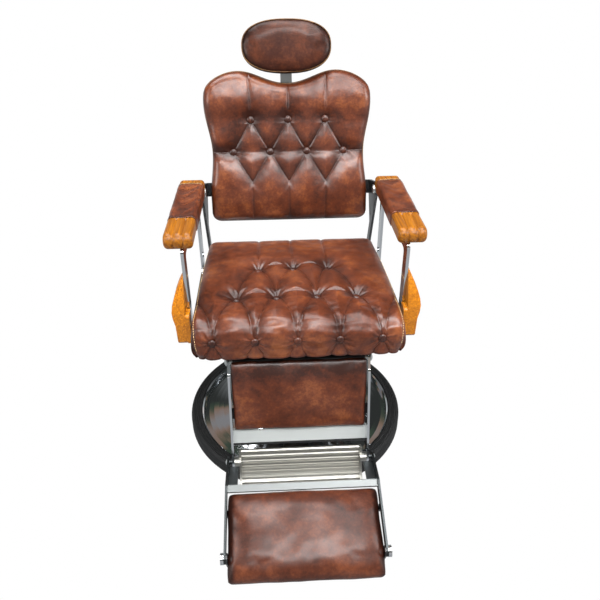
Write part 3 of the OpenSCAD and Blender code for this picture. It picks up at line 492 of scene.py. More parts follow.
def link_piece(name, shape, material):
    """Makes an object from a bmesh, smooth on its quads, and puts it in the scene."""
    bmesh.ops.recalc_face_normals(shape, faces=shape.faces)
    for polygon in shape.faces:
        polygon.smooth = len(polygon.verts) <= 4
    mesh = bpy.data.meshes.new(name)
    shape.to_mesh(mesh)
    shape.free()
    mesh.materials.append(material)
    piece = bpy.data.objects.new(name, mesh)
    bpy.context.scene.collection.objects.link(piece)
    return piece


def padded_mesh(name, columns, rows, face, skirt, skirt_steps, material):
    """A closed pad. face maps u, v in -1 to 1 to places on the sewn face and to how much painted
    shade each gets, and skirt maps the face's edge places to places down its side, for f from 0 to 1."""
    shape = bmesh.new()
    # The crease attribute holds painted shade, which the leather reads.
    shade_layer = shape.verts.layers.float.new("crease")
    bmesh.ops.create_grid(shape, x_segments=columns, y_segments=rows, size=1.0)
    spots = np.array([v.co[:2] for v in shape.verts])
    for vert, place, creased in zip(shape.verts, *face(spots)):
        vert.co = place
        vert[shade_layer] = creased
    edge = [e for e in shape.edges if e.is_boundary]
    for step in range(1, skirt_steps + 1):
        grown = bmesh.ops.extrude_edge_only(shape, edges=edge)["geom"]
        fresh = [g for g in grown if isinstance(g, bmesh.types.BMVert)]
        edge = [g for g in grown if isinstance(g, bmesh.types.BMEdge) and g.is_boundary]
        if step == 1:
            rim = np.array([v.co[:] for v in fresh])
        for vert, place in zip(fresh, skirt(rim, step / skirt_steps)):
            vert.co = place
            # Painted shade down the pad's sides.
            vert[shade_layer] = 0.6
    bmesh.ops.holes_fill(shape, edges=edge)
    return link_piece(name, shape, material)


def dressed(piece, row, replaces=None):
    """Lets a piece ride on a CAD body, and hides the node it stands for."""
    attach(piece, row)
    if replaces:
        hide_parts(replaces)
    return piece


seat_low, seat_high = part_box("seat_cushion")
seat_width = seat_high[0] - seat_low[0]
seat_front, seat_rear = seat_low[1], seat_high[1]
seat_bottom = seat_low[2]
seat_crest = 0.562
seat_rear_height = 0.533
seat_roll = 0.052
roll_start = seat_front + seat_roll + 0.008
seat_flat = seat_rear - roll_start
seat_run = seat_flat + 0.125
roll_share, fall_share = 0.62, 0.86
seat_shares = [0, roll_share, fall_share, 1]
seat_lengths = [0, seat_flat, seat_flat + 0.086, seat_run]


def seat_profile(t):
    """The seat's middle in side view, from its rear edge (0) over the crest to its foot (1)."""
    flat = np.clip(t / roll_share, 0, 1)
    turn = np.clip((t - roll_share) / (fall_share - roll_share), 0, 1) * math.pi / 2
    fall = np.clip((t - fall_share) / (1 - fall_share), 0, 1)
    y = seat_rear - flat * seat_flat - (seat_roll + 0.005) * np.sin(turn) + 0.004 * fall ** 2
    z = (seat_rear_height + (seat_crest - seat_rear_height) * np.sin(math.pi / 2 * flat ** 0.9)
         - seat_roll * (1 - np.cos(turn)) - fall * (seat_crest - seat_roll - seat_bottom - 0.004))
    return y, z


tuft_step = 0.105
rear_tufts = [(k * tuft_step * 0.94 - 0.003, 0.224) for k in (-1, 0, 1)]
front_tufts = [(k * tuft_step, 0.390) for k in (-1.5, -0.5, 0.5, 1.5)]
nose_buttons = [(k * tuft_step - 0.004, 0.564) for k in (-2, -1, 0, 1, 2)]
seat_arches = [arch(a, b) for a, b in close_pairs(rear_tufts, front_tufts, tuft_step)]
nose_arches = [arch(a, b) for a, b in close_pairs(front_tufts, nose_buttons, tuft_step)]
nose_arches += [arch((s * 0.262, 0.400), (s * 2 * tuft_step, 0.557)) for s in (-1, 1)]
rear_bows = [bow(a, b, -0.013) for row in (rear_tufts, front_tufts) for a, b in zip(row, row[1:])]
seat_seam_x = 0.2585


def seat_half(t):
    """Half the seat's width at t: it widens from its rear edge to its middle, and draws in below
    its nose."""
    drawn_in = 0.011 * (np.clip(t - 0.8, 0, 1) / 0.2) ** 3
    return seat_width / 2 - 0.006 + 0.006 * np.clip(2 * t, 0, 1) - drawn_in


def seat_face(spots):
    """Places on the seat's sewn face, and how much painted shade each gets."""
    u, t = spots[:, 0], (spots[:, 1] + 1) / 2
    run = np.interp(t, seat_shares, seat_lengths)
    x = -u * (seat_half(t) - 0.003 - 0.020 * (1 - arc(run, 0.024)))
    y, z = seat_profile(t)
    y_on, z_on = seat_profile(t + 0.004)
    y_off, z_off = seat_profile(t - 0.004)
    length = np.hypot(y_on - y_off, z_on - z_off) + 1e-9
    n_y, n_z = (z_on - z_off) / length, -(y_on - y_off) / length
    flat = np.stack([x, run], 1)
    edge = arc(1 - np.abs(u), 0.10)
    rear_edge = arc(run, 0.030)
    crown = 0.013 * (1 - u ** 2) * np.sin(math.pi * np.clip(t / 0.92, 0, 1))
    pits = pit_drop(flat, rear_tufts + front_tufts, 0.027, 0.082)
    bows = pleat_drop(flat, rear_bows, 0.009, 0.030, 1.7, 0.018)
    arches = pleat_drop(flat, seat_arches, 0.010, 0.046, 1.6)
    nose = np.maximum(pit_drop(flat, nose_buttons, 0.013, 0.060),
                      pleat_drop(flat, nose_arches, 0.011, 0.050, 1.1))
    hem_pleats = [[b, (b[0] + s * 0.020, seat_run)] for b in nose_buttons for s in (-1, 1)]
    hem = pleat_drop(flat, hem_pleats, 0.006, 0.020)
    lines = pleat_drop(flat, [[b, (b[0], 0.0)] for b in rear_tufts], 0.003, 0.016)
    drop = np.maximum.reduce([pits, bows, arches, nose, hem, lines])
    puckers = (gathers(flat, nose_buttons, 0.0013, 0.030, 9, 1.3)
               + gathers(flat, rear_tufts + front_tufts, 0.0012, 0.036, 9, 2.1))
    seam = 0.0022 * np.exp(-((np.abs(x) - seat_seam_x) / 0.0022) ** 2)
    rise = crown - drop * edge + puckers * edge - 0.016 * (1 - edge) - 0.008 * (1 - rear_edge) - seam
    places = np.stack([x, y, z], 1)
    rise = rise + 0.0026 * cloth_noise(places, 0.085, 1) + 0.0007 * cloth_noise(places, 0.024, 2)
    ripples = cloth_noise(np.stack([x * 0.45, run, 0 * x], 1), 0.017, 5)
    rise = rise + 0.0020 * ripples * np.clip((run - 0.37) / 0.08, 0, 1) * edge
    # Painted shade: darker in the pits and folds, and along the sides where the face rolls down.
    creased = np.clip(drop / 0.020, 0, 1) + 0.5 * (1 - edge)
    return np.stack([x, y + n_y * rise, np.maximum(z + n_z * rise, seat_bottom + 0.002)], 1), creased


def seat_skirt(rim, f):
    """The boxing: it bulges a little, and tucks in under the board's edge."""
    side = np.clip((np.abs(rim[:, 0]) / (seat_width / 2) - 0.94) / 0.02, 0, 1)
    out_x = np.sign(rim[:, 0]) * side
    out_y = np.where(rim[:, 1] > seat_rear - 0.03, 1.0, 0.0) * (1 - side)
    bulge = 0.0045 * math.sin(math.pi * min(1.0, f * 1.05))
    tuck = -0.006 * f ** 6
    z = rim[:, 2] + (seat_bottom - rim[:, 2]) * f
    return np.stack([rim[:, 0] + out_x * (bulge + tuck), rim[:, 1] + out_y * (bulge + tuck), z], 1)


seat_cushion = padded_mesh("seat_leather", 320, 360, seat_face, seat_skirt, 10, leather)
dressed(seat_cushion, "seat", "seat_cushion")


def skin_of(cushion):
    """The cushion's surface, to cast lines onto."""
    mesh = cushion.data
    return BVHTree.FromPolygons([v.co for v in mesh.vertices], [p.vertices for p in mesh.polygons])


def covered_buttons(name, cushion, aims, radius, lift):
    """Leather-covered buttons that sit where each aim, a start and a direction, meets the cushion."""
    skin = skin_of(cushion)
    shape = bmesh.new()
    shade_layer = shape.verts.layers.float.new("crease")
    for start, way in aims:
        way = Vector(way).normalized()
        spot = skin.ray_cast(Vector(start), way)[0] - way * lift
        turn = (-way).to_track_quat("Z", "Y").to_matrix().to_4x4()
        place = Matrix.Translation(spot) @ turn @ Matrix.Diagonal((1, 1, 0.55, 1))
        made = bmesh.ops.create_uvsphere(shape, u_segments=28, v_segments=16, radius=radius, matrix=place)
        for vert in made["verts"]:
            # Painted shade: the buttons sit in their pits and are darkened as shade there.
            vert[shade_layer] = 0.8
    return link_piece(name, shape, leather)


def stitches(name, cushion, path, pitch, material, raised=0.0004):
    """A row of thread stitches laid on the cushion along a path of (place, outward) pairs."""
    skin = skin_of(cushion)
    spots = []
    for place, out in path:
        out = Vector(out).normalized()
        hit = skin.ray_cast(Vector(place) + out * 0.05, -out)
        if hit[0] is not None:
            spots.append((hit[0], hit[1]))
    gaps = [(b[0] - a[0]).length for a, b in zip(spots, spots[1:])]
    lengths = np.concatenate([[0], np.cumsum(gaps)])
    shape = bmesh.new()
    for start in np.arange(0, lengths[-1] - pitch, pitch):
        index = int(np.searchsorted(lengths, start + pitch / 2)) - 1
        a, b = spots[index], spots[index + 1]
        part = (start + pitch / 2 - lengths[index]) / max(1e-9, lengths[index + 1] - lengths[index])
        normal = a[1].lerp(b[1], part).normalized()
        middle = a[0].lerp(b[0], part) + normal * raised
        side = (b[0] - a[0]).cross(normal).normalized()
        turn = Matrix((side, (b[0] - a[0]).normalized(), normal)).transposed().to_4x4()
        place = Matrix.Translation(middle) @ turn @ Matrix.Diagonal((0.0009, pitch * 0.38, 0.0008, 1))
        bmesh.ops.create_icosphere(shape, subdivisions=1, radius=1.0, matrix=place)
    return link_piece(name, shape, material)


def seat_aim(button):
    """The start and direction of a line that runs down onto the seat at a button."""
    t = np.interp(button[1], seat_lengths, seat_shares)
    (y_on, z_on), (y_off, z_off) = seat_profile(t + 0.01), seat_profile(t - 0.01)
    y, z = seat_profile(t)
    normal = Vector((0, z_on - z_off, -(y_on - y_off))).normalized()
    return Vector((button[0], y, z)) + normal * 0.08, -normal


seat_buttons = covered_buttons("seat_button_covers", seat_cushion,
                               [seat_aim(b) for b in rear_tufts + front_tufts + nose_buttons], 0.0105, 0.0045)
dressed(seat_buttons, "seat", "seat_buttons")
for side in (-1, 1):
    seam_path = []
    for part in np.linspace(0.03, 0.97, 120):
        seam_x = seat_seam_x - 0.006 * max(0, part - 0.85) / 0.15
        start, way = seat_aim((side * seam_x, part * seat_run))
        seam_path.append((start, -way))
    seam_name = "seat_stitches_" + ("left" if side > 0 else "right")
    dressed(stitches(seam_name, seat_cushion, seam_path, 0.0065, thread), "seat")


# ---- Backrest cushion ----------------------------------------------------------
# Flatter foam on a shaped board: a waist, two ears and a dip between them. Seven buttons
# hold it, and its leather is folded into straight pleats that meet in points below them.
back_tilt = math.radians(14)
back_foot = Vector((0, 0.275, 0.572))
back_up = Vector((0, math.sin(back_tilt), math.cos(back_tilt)))
back_out = Vector((0, -math.cos(back_tilt), math.sin(back_tilt)))
back_length = 0.452
back_dip = 0.037
back_thick = 0.062
back_middle = 0.212
foot_half, waist_half, ear_half = 0.2475, 0.2355, 0.256
waist_start, waist_height, ear_height = 0.070, 0.211, 0.364


def ease(t):
    """A soft step from 0 to 1."""
    return (1 - np.cos(math.pi * np.clip(t, 0, 1))) / 2


def back_half(h):
    """Half the backrest's width at height h up its slope."""
    drawn_in = ease((h - waist_start) / (waist_height - waist_start))
    let_out = ease((h - waist_height) / (ear_height - waist_height))
    body = np.where(h < waist_height, foot_half - (foot_half - waist_half) * drawn_in,
                    waist_half + (ear_half - waist_half) * let_out)
    return body - 0.006 * (np.maximum(0, h - ear_height) / 0.045) ** 2


def back_top(u):
    """The top edge: the dip, the ears and their round shoulders."""
    a, peak = np.abs(u), 0.64
    ear = back_length - back_dip * (1 - ease(a / peak))
    shoulder = back_length - 0.060 * (1 - np.sqrt(np.clip(1 - ((a - peak) / (1 - peak)) ** 2, 0, 1)))
    return np.where(a < peak, ear, shoulder)


def back_base(u):
    """The bottom edge, with round corners."""
    a = np.abs(u)
    return np.where(a < 0.88, 0, 0.024 * (1 - np.sqrt(np.clip(1 - ((a - 0.88) / 0.12) ** 2, 0, 1))))


def from_back(x, h, d):
    """Row frame places from places across, up and out of the backrest."""
    return np.stack([x] + [back_foot[k] + h * back_up[k] + d * back_out[k] for k in (1, 2)], 1)


def to_back(places):
    """The inverse of from_back, as x, h and d."""
    y, z = places[:, 1] - back_foot[1], places[:, 2] - back_foot[2]
    return places[:, 0], y * back_up[1] + z * back_up[2], y * back_out[1] + z * back_out[2]


back_step = 0.115
upper_buttons = [(k * back_step, 0.312) for k in (-1, 0, 1)]
lower_buttons = [(k * back_step, 0.215) for k in (-1.5, -0.5, 0.5, 1.5)]
pleat_points = [(k * back_step, 0.125) for k in (-1, 0, 1)]
back_folds = [[a, b] for a, b in close_pairs(upper_buttons, lower_buttons, back_step)
              + close_pairs(lower_buttons, pleat_points, back_step)]
back_lines = [[b, (b[0], 0.0)] for b in pleat_points] + [[b, (b[0] * 1.03, 0.46)] for b in upper_buttons]
back_sides = [[b, (math.copysign(0.26, b[0]), b[1] + 0.003)] for b in (lower_buttons[0], lower_buttons[-1])]


def back_face(spots):
    """Places on the backrest's sewn face, and how much painted shade each gets."""
    u, v = spots[:, 0], (spots[:, 1] + 1) / 2
    h = back_base(u) + v * (back_top(u) - back_base(u))
    x = u * back_half(h)
    flat = np.stack([x, h], 1)
    rim_gap = np.minimum.reduce([(1 - np.abs(u)) * 0.25, v * 0.44, (1 - v) * 0.44])
    roll = arc(rim_gap, 0.026)
    crown = 0.013 * np.sqrt(np.clip((1 - u ** 4) * (1 - (2 * v - 1) ** 6), 0, 1))
    upper = np.sin(math.pi * np.clip((h - 0.285) / 0.165, 0, 1)) ** 2
    upper = upper * (0.4 + 0.6 * np.clip(np.abs(u) / 0.4, 0, 1))
    crown = crown + 0.012 * np.sin(math.pi * np.clip(h / 0.215, 0, 1)) + 0.008 * upper
    pits = pit_drop(flat, upper_buttons + lower_buttons, 0.017, 0.075)
    folds = pleat_drop(flat, back_folds, 0.0125, 0.054, 0.90)
    lines = pleat_drop(flat, back_lines, 0.0050, 0.030, 0.9)
    sides = pleat_drop(flat, back_sides, 0.010, 0.040)
    valley = 0.006 * np.exp(-((h - 0.219) / 0.020) ** 2) + 0.004 * np.exp(-((h - 0.318) / 0.030) ** 2)
    drop = np.maximum.reduce([pits, folds, lines, sides]) + valley
    puckers = gathers(flat, upper_buttons + lower_buttons, 0.0004, 0.026, 8, 1.7)
    places = from_back(x, h, np.zeros(len(x)))
    d = crown - 0.016 * (1 - roll) + (puckers - drop) * roll
    d = d + 0.0022 * cloth_noise(places, 0.080, 3) + 0.0006 * cloth_noise(places, 0.022, 4)
    # Painted shade: darker in the pits and folds, and round the rim where the face rolls back.
    return from_back(x, h, d), np.clip(drop / 0.014, 0, 1) + 0.5 * (1 - roll)


def back_skirt(rim, f):
    """The boxing round the backrest, full in its middle."""
    x, h, d = to_back(rim)
    far = np.hypot(x, h - back_middle) + 1e-9
    bulge = 0.004 * math.sin(math.pi * f) - 0.004 * f ** 8
    return from_back(x + x / far * bulge, h + (h - back_middle) / far * bulge, d + (-back_thick - d) * f)


back_cushion = padded_mesh("back_leather", 300, 270, back_face, back_skirt, 10, leather)
dressed(back_cushion, "back", "back_cushion")
back_spots = np.array(upper_buttons + lower_buttons)
back_aims = [(start, -back_out) for start in from_back(*back_spots.T, np.full(len(back_spots), 0.08))]
back_buttons = covered_buttons("back_button_covers", back_cushion, back_aims, 0.0120, 0.0045)
dressed(back_buttons, "back", "back_buttons")


def join_rings(shape, rings):
    """Walls of quads from each ring of vertices to the next."""
    for here, there in zip(rings, rings[1:]):
        for k in range(len(here)):
            after = (k + 1) % len(here)
            shape.faces.new((here[k], here[after], there[after], there[k]))


def welt(name, path, radius, material):
    """A closed round cord along a path, as a seam's piping."""
    path = np.array(path)
    tangent = np.roll(path, -1, 0) - np.roll(path, 1, 0)
    tangent /= np.linalg.norm(tangent, axis=1, keepdims=True)
    first = np.cross(tangent, path.mean(0) - path)
    first /= np.linalg.norm(first, axis=1, keepdims=True)
    second = np.cross(tangent, first)
    turns = [2 * math.pi * k / 10 for k in range(10)]
    shape = bmesh.new()
    rings = []
    for place, across, over in zip(path, first, second):
        ring = [place + radius * (math.cos(a) * across + math.sin(a) * over) for a in turns]
        rings.append([shape.verts.new(spot) for spot in ring])
    join_rings(shape, rings + rings[:1])
    return link_piece(name, shape, material)


back_rim = [(u, 1.0) for u in np.linspace(-1, 1, 160)[:-1]] + [(1.0, v) for v in np.linspace(1, 0, 60)[:-1]]
back_rim += [(-u, 1 - v) for u, v in back_rim]
rim_u, rim_v = np.array(back_rim).T
rim_h = back_base(rim_u) + rim_v * (back_top(rim_u) - back_base(rim_u))
rim_x = rim_u * back_half(rim_h)
grow = 1 + 0.0008 / np.hypot(rim_x, rim_h - back_middle)
back_path = from_back(rim_x * grow, back_middle + (rim_h - back_middle) * grow, np.full(len(rim_x), -0.0185))
dressed(welt("back_welt", back_path, 0.0015, piping), "back")


# ---- Headrest cushion ---------------------------------------------------------- An
# oval pad on a black shell: a taut face, a welt round it, and a boxing band behind.
fill_pressure = 4.0
fill_frames = 20


def inflate(piece, voxel, cap, held):
    """Fills a pad: remeshes it, blows it up while held(places) keeps its back still, lets no point
    move further than cap, and smooths it."""
    remesh = piece.modifiers.new("remesh", "REMESH")
    remesh.mode = "VOXEL"
    remesh.voxel_size = voxel
    remeshed = bpy.data.meshes.new_from_object(piece.evaluated_get(bpy.context.evaluated_depsgraph_get()))
    piece.modifiers.clear()
    piece.data = remeshed
    before = np.array([v.co[:] for v in remeshed.vertices])
    group = piece.vertex_groups.new(name="held")
    group.add([int(k) for k in np.nonzero(held(before))[0]], 1.0, "REPLACE")
    cloth = piece.modifiers.new("fill", "CLOTH")
    cloth.settings.quality = 6
    cloth.settings.use_pressure = True
    cloth.settings.uniform_pressure_force = fill_pressure
    cloth.settings.vertex_group_mass = "held"
    cloth.settings.effector_weights.gravity = 0
    cloth.point_cache.frame_start = 1
    cloth.point_cache.frame_end = fill_frames
    for step in range(1, fill_frames + 1):
        bpy.context.scene.frame_set(step)
    blown = piece.evaluated_get(bpy.context.evaluated_depsgraph_get()).data
    move = np.array([v.co[:] for v in blown.vertices]) - before
    far = np.linalg.norm(move, axis=1, keepdims=True) + 1e-9
    before += move * np.minimum(1, cap / far)
    piece.modifiers.clear()
    piece.vertex_groups.clear()
    bpy.context.scene.frame_set(1)
    remeshed.vertices.foreach_set("co", before.ravel())
    shape = bmesh.new()
    shape.from_mesh(remeshed)
    for _ in range(6):
        bmesh.ops.smooth_vert(shape, verts=shape.verts, factor=0.5, use_axis_x=True, use_axis_y=True,
                              use_axis_z=True)
    for polygon in shape.faces:
        polygon.smooth = True
    shape.to_mesh(remeshed)
    shape.free()
    smoother = piece.modifiers.new("smooth", "SUBSURF")
    smoother.levels = smoother.render_levels = 1


def crumple(piece, height, size, seed, darker=None):
    """Lets a pad's skin wander in and out a little, and paints shade where darker(places) is high, through
    the crease attribute.
    """
    places = np.array([v.co[:] for v in piece.data.vertices])
    normals = np.array([v.normal[:] for v in piece.data.vertices])
    wander = height * cloth_noise(places, size, seed) + 0.3 * height * cloth_noise(places, size / 3, seed + 1)
    piece.data.vertices.foreach_set("co", (places + normals * wander[:, None]).ravel())
    if darker is not None:
        marks = piece.data.attributes.new("crease", "FLOAT", "POINT")
        marks.data.foreach_set("value", np.clip(darker(places), 0, 1).astype(np.float32))


head_height = 0.519
head_a, head_b = 0.136, 0.077
head_front, head_rear = 0.036, -0.014
head_oval = 2.45


def head_spot(u, v, grow=1.0):
    """A place on the headrest's outline square, bent to a full oval. Returns x, h and how near the rim."""
    reach = np.maximum(np.abs(u), np.abs(v))
    round_norm = (np.abs(u) ** head_oval + np.abs(v) ** head_oval) ** (1 / head_oval) + 1e-9
    return head_a * grow * u * reach / round_norm, head_b * grow * v * reach / round_norm, reach


def head_face(spots):
    """Places on the headrest's face."""
    x, h, reach = head_spot(spots[:, 0], spots[:, 1], 0.965)
    d = head_front - 0.004 - 0.003 * reach ** 2 - 0.012 * reach ** 10
    return from_back(x, head_height + h, d), np.zeros(len(x))


def head_skirt(rim, f):
    """The headrest's boxing band."""
    x, h, d = to_back(rim)
    grow = 1 + 0.02 * math.sin(math.pi * f) - 0.02 * f ** 6
    return from_back(x * grow, head_height + (h - head_height) * grow, d + (head_rear - d) * f)


headrest_cushion = padded_mesh("headrest_leather", 60, 44, head_face, head_skirt, 8, head_shaded_leather)
inflate(headrest_cushion, 0.0045, 0.0025, lambda p: to_back(p)[2] < head_rear + 0.006)


def head_rim_shade(places):
    """How much painted shade places on the headrest get: more near its rim, where the face rolls over."""
    reach = np.hypot(places[:, 0] / head_a, (to_back(places)[1] - head_height) / head_b)
    return 0.9 * np.clip(reach * 6 - 4.9, 0, 1)


crumple(headrest_cushion, 0.0008, 0.06, 11, head_rim_shade)
dressed(headrest_cushion, "headrest", "headrest_cushion")
angles = np.linspace(0, 2 * math.pi, 120, endpoint=False)
edge_scale = (np.abs(np.cos(angles)) ** head_oval + np.abs(np.sin(angles)) ** head_oval) ** (-1 / head_oval)
welt_across, welt_above, welt_below = 0.1315, 0.0730, 0.0710
welt_up = np.where(angles < math.pi, welt_above, welt_below) * np.sin(angles) * edge_scale
head_path = from_back(welt_across * np.cos(angles) * edge_scale, head_height + welt_up,
                      np.full(len(angles), head_front - 0.0175))
dressed(welt("headrest_welt", head_path, 0.0014, piping), "headrest")


# ---- Calf pad and foot pad -----------------------------------------------------
# The calf pad is a thin upholstered board between the chromed bars. The foot pad is a fuller
# pillow in a pressed pan, that flips over for use. Both are filled like the headrest.
def placer(row_y, row_z, degrees):
    """Makes a map from a tilted local frame, as x, up its face, and out of it, to the row frame."""
    rise, run = math.sin(math.radians(degrees)), math.cos(math.radians(degrees))
    return lambda x, up, out: np.stack([x, row_y + up * run - out * rise, row_z + up * rise + out * run], 1)


def rounded(x, y, a, b, r):
    """Moves places on a rectangle of half sizes a and b so that its corners have radius r."""
    over_x, over_y = np.maximum(np.abs(x) - (a - r), 0), np.maximum(np.abs(y) - (b - r), 0)
    scale = np.where(over_x * over_y > 0, np.maximum(over_x, over_y) / (np.hypot(over_x, over_y) + 1e-9), 1.0)
    return (np.sign(x) * (np.minimum(np.abs(x), a - r) + over_x * scale),
            np.sign(y) * (np.minimum(np.abs(y), b - r) + over_y * scale))


def pad_piece(name, place, middle, half_x, half_up, corner, front, rear, roll, reach, held_below,
              cap, sink, hide):
    """A pad with a rounded rectangular face at out = front, less sink(x, up), with edges rolled over
    roll * reach, and its back at out = rear. Filling moves no point by more than cap, and none
    below held_below."""
    def point(up, out):
        return place(np.zeros(1), np.array([up]), np.array([out]))[0]

    def face(spots):
        x, up = rounded(spots[:, 0] * half_x, spots[:, 1] * half_up, half_x, half_up, corner)
        rolled = arc(half_x - np.abs(x), roll * reach) * arc(half_up - np.abs(up), roll * reach)
        return place(x, middle + up, front - roll * (1 - rolled) - sink(x, middle + up)), np.zeros(len(x))

    def skirt(rim, f):
        top, bottom = point(middle, front - roll), point(middle, rear)
        return top + (rim - top) * (1 - 0.012 * f ** 3) + (bottom - top) * f

    piece = padded_mesh(name, 64, 48, face, skirt, 6, hide)
    outward = point(0.0, 1.0) - point(0.0, 0.0)
    floor_level = point(0.0, held_below) @ outward
    inflate(piece, 0.0050, cap, lambda p: p @ outward < floor_level)
    return piece


calf_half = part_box("calf_pad")[1][0] - 0.0008


def calf_sink(x, up):
    """The calf pad falls away at its top, above a line of stitching."""
    sewn = np.exp(-((up + 0.031 + 0.004 * np.cos(9 * x)) / 0.004) ** 2)
    return 0.013 * np.clip((up + 0.028) / 0.034, 0, 1) ** 1.5 + 0.0012 * sewn


def calf_painted_shadow(places):
    """Painted shadow and shade: the calf pad is darkest along its top, in the seat's shadow, and along its
    sides.
    """
    top = np.clip((places[:, 2] - 0.374) / 0.032, 0, 1)
    return 0.8 * top + 0.7 * np.clip((np.abs(places[:, 0]) - calf_half + 0.008) / 0.006, 0, 1)


calf_cushion = pad_piece("calf_leather", placer(-0.275, 0.425, 82), middle=-0.0965, half_x=calf_half,
                         half_up=0.1020, corner=0.004, front=0.0310, rear=0.0125, roll=0.005,
                         reach=1.6, held_below=0.0165, cap=0.002, sink=calf_sink, hide=leather)
crumple(calf_cushion, 0.0022, 0.07, 21, calf_painted_shadow)
dressed(calf_cushion, "leg_rest", "calf_pad")


def foot_sink(x, up):
    """The foot pad is domed, and its foam stands fuller in two places."""
    dome = 0.008 * (x / 0.189) ** 2 + 0.007 * ((up - 0.052) / 0.104) ** 2
    low = np.exp(-((x + 0.105) ** 2 + (up - 0.035) ** 2) / 0.050 ** 2)
    high = np.exp(-((x - 0.090) ** 2 + (up - 0.100) ** 2) / 0.055 ** 2)
    return dome - 0.0035 * low - 0.0045 * high


foot_cushion = pad_piece("foot_leather", placer(-0.607, 0.085, 23.4), middle=0.0530, half_x=0.1930,
                         half_up=0.1080, corner=0.010, front=0.0165, rear=-0.0255, roll=0.020,
                         reach=3.0, held_below=-0.019, cap=0.0012, sink=foot_sink, hide=foot_leather)
# Painted shade along the foot pad's sides.
crumple(foot_cushion, 0.0030, 0.085, 33, lambda p: 0.9 * np.clip((np.abs(p[:, 0]) - 0.172) / 0.012, 0, 1))
dressed(foot_cushion, "foot_pad", "foot_cushion")


# ---- Arms ----------------------------------------------------------------------
# Thick bars of varnished ash with round noses. Two grooves part each nose in three fingers
# and stop at the leather, which wraps the arm and is stitched along its rear end.
arm_low, arm_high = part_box("arm_wood_left")
arm_x = (arm_low[0] + arm_high[0]) / 2
arm_half = (arm_high[0] - arm_low[0]) / 2
arm_radius = (arm_high[2] - arm_low[2]) / 2
arm_z = (arm_high[2] + arm_low[2]) / 2
arm_pad_low, arm_pad_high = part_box("arm_pad_left")
arm_front, arm_rear = arm_pad_low[1], arm_pad_high[1]
arm_edge = 0.011
groove_x, groove_depth, groove_reach = 0.0118, 0.0042, 0.0085


def arm_outline():
    """Round the arm's side: places as y and z, and outward normals."""
    nose = arm_low[1] + arm_radius
    corner = 0.012
    spots = [((y, -arm_radius), (0, -1)) for y in np.linspace(arm_high[1] - corner, nose, 26)[:-1]]
    for angle in np.linspace(-math.pi / 2, -1.5 * math.pi, 61):
        way = (math.cos(angle), math.sin(angle))
        spots.append(((nose + arm_radius * way[0], arm_radius * way[1]), way))
    before, after = arm_front - 0.012, arm_front + 0.006
    stretches = ((nose, before, 30), (before, after, 16), (after, arm_high[1] - corner, 30))
    tops = np.concatenate([np.linspace(*stretch)[1:] for stretch in stretches])
    spots += [((y, arm_radius), (0, 1)) for y in tops]
    for start in (math.pi / 2, 0):
        for angle in np.linspace(start, start - math.pi / 2, 8)[1:]:
            way = (math.cos(angle), math.sin(angle))
            centre_z = (arm_radius - corner) * (1 if start > 0 else -1)
            spots.append(((arm_high[1] - corner + corner * way[0], centre_z + corner * way[1]), way))
    return np.array([s[0] for s in spots]), np.array([s[1] for s in spots])


def make_arm(name, side):
    """One wooden arm; side is 1 for the sitter's left."""
    places, normals = arm_outline()
    angle = np.degrees(np.arctan2(normals[:, 1], -normals[:, 0]))
    grooved = np.clip((arm_front - 0.003 - places[:, 0]) / 0.005, 0, 1) * np.clip((angle + 65) / 20, 0, 1)
    shape = bmesh.new()
    rings = []
    for across in np.sin(np.linspace(-math.pi / 2, math.pi / 2, 101)) * arm_half:
        outer = max(0.0, abs(across) - (arm_half - arm_edge))
        edge = arm_edge - math.sqrt(max(0.0, arm_edge ** 2 - outer ** 2))
        groove = groove_depth * crease(abs(abs(across) - groove_x), groove_reach, 1.6)
        spots = places - normals * (edge + groove * grooved)[:, None]
        rings.append([shape.verts.new((side * (arm_x + across), y, arm_z + z)) for y, z in spots])
    join_rings(shape, rings)
    shape.faces.new(rings[0])
    shape.faces.new(rings[-1])
    return link_piece(name, shape, wood)


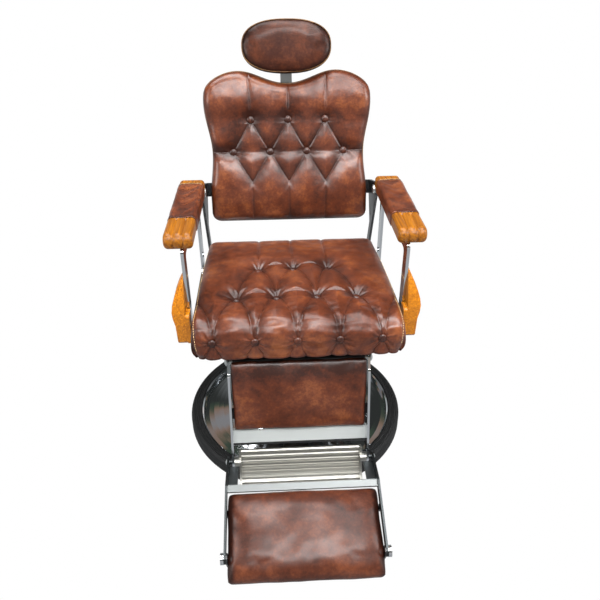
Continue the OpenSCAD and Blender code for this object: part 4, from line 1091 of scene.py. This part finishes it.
def make_arm_pad(name, side):
    """The leather round one arm: drawn tight over its top and sides, with pulls at its front corners."""
    half_x, top, foot, bend = arm_half + 0.0012, arm_radius + 0.0030, -arm_radius + 0.006, 0.012
    turns = np.linspace(0, math.pi / 2, 11)
    corner = [(half_x - bend + bend * math.cos(a), top - bend + bend * math.sin(a)) for a in turns]
    section = np.array([(half_x, foot)] + corner + [(-x, z) for x, z in corner[::-1]] + [(-half_x, foot)])
    lengths = np.concatenate([[0], np.cumsum(np.hypot(*np.diff(section, axis=0).T))])

    def face(spots):
        along = (spots[:, 0] + 1) / 2 * lengths[-1]
        x, z = np.interp(along, lengths, section[:, 0]), np.interp(along, lengths, section[:, 1])
        y = arm_front + (spots[:, 1] + 1) / 2 * (arm_rear - arm_front)
        end_gap = np.minimum(y - arm_front, arm_rear - y)
        seam = np.exp(-((end_gap - 0.007) / 0.0018) ** 2)
        loose = np.clip((z + 0.010) / 0.020, 0, 1) * arc(end_gap, 0.004)
        grain = np.stack([x * 0.9 + y * 0.4, y * 0.8 - np.abs(x), z * 0.3], 1)
        rise = 0.0010 * cloth_noise(grain, 0.024, 41 + side) + 0.0012 * cloth_noise(grain, 0.060, 43 + side)
        rise = rise * loose - 0.0011 * seam - 0.0012 * (1 - arc(end_gap, 0.004))
        way = np.stack([np.clip(x / half_x, -1, 1) ** 9, np.clip(z / top, 0, 1) ** 3], 1)
        way /= np.linalg.norm(way, axis=1, keepdims=True) + 1e-9
        places = np.stack([side * (arm_x + x + way[:, 0] * rise), y, arm_z + z + way[:, 1] * rise], 1)
        # The sunken seam near each end is darker, as a dark seam and as painted shade, and dips in the skin
        # get painted shade.
        return places, np.clip(0.6 * seam + 0.3 * (rise < -0.0004), 0, 1)

    def skirt(rim, f):
        z = arm_z + foot
        return np.stack([side * arm_x + (rim[:, 0] - side * arm_x) * (1 - 0.05 * min(1, 2 * f)),
                         rim[:, 1], rim[:, 2] + (z - rim[:, 2]) * max(0, 2 * f - 1)], 1)

    return padded_mesh(name, 110, 150, face, skirt, 2, leather)


for side, word in ((1, "left"), (-1, "right")):
    dressed(make_arm("arm_ash_" + word, side), "seat", "arm_wood_" + word)
    arm_cover = make_arm_pad("arm_leather_" + word, side)
    dressed(arm_cover, "seat", "arm_pad_" + word)
    seam_path = [((side * (arm_x + x), arm_rear - 0.007 + 0.002 * (k % 2), arm_high[2]), (0, 0, 1))
                 for k, x in enumerate(np.linspace(-0.032, 0.032, 17))]
    dressed(stitches("arm_stitches_" + word, arm_cover, seam_path, 0.0042, thread, 0.0008), "seat")
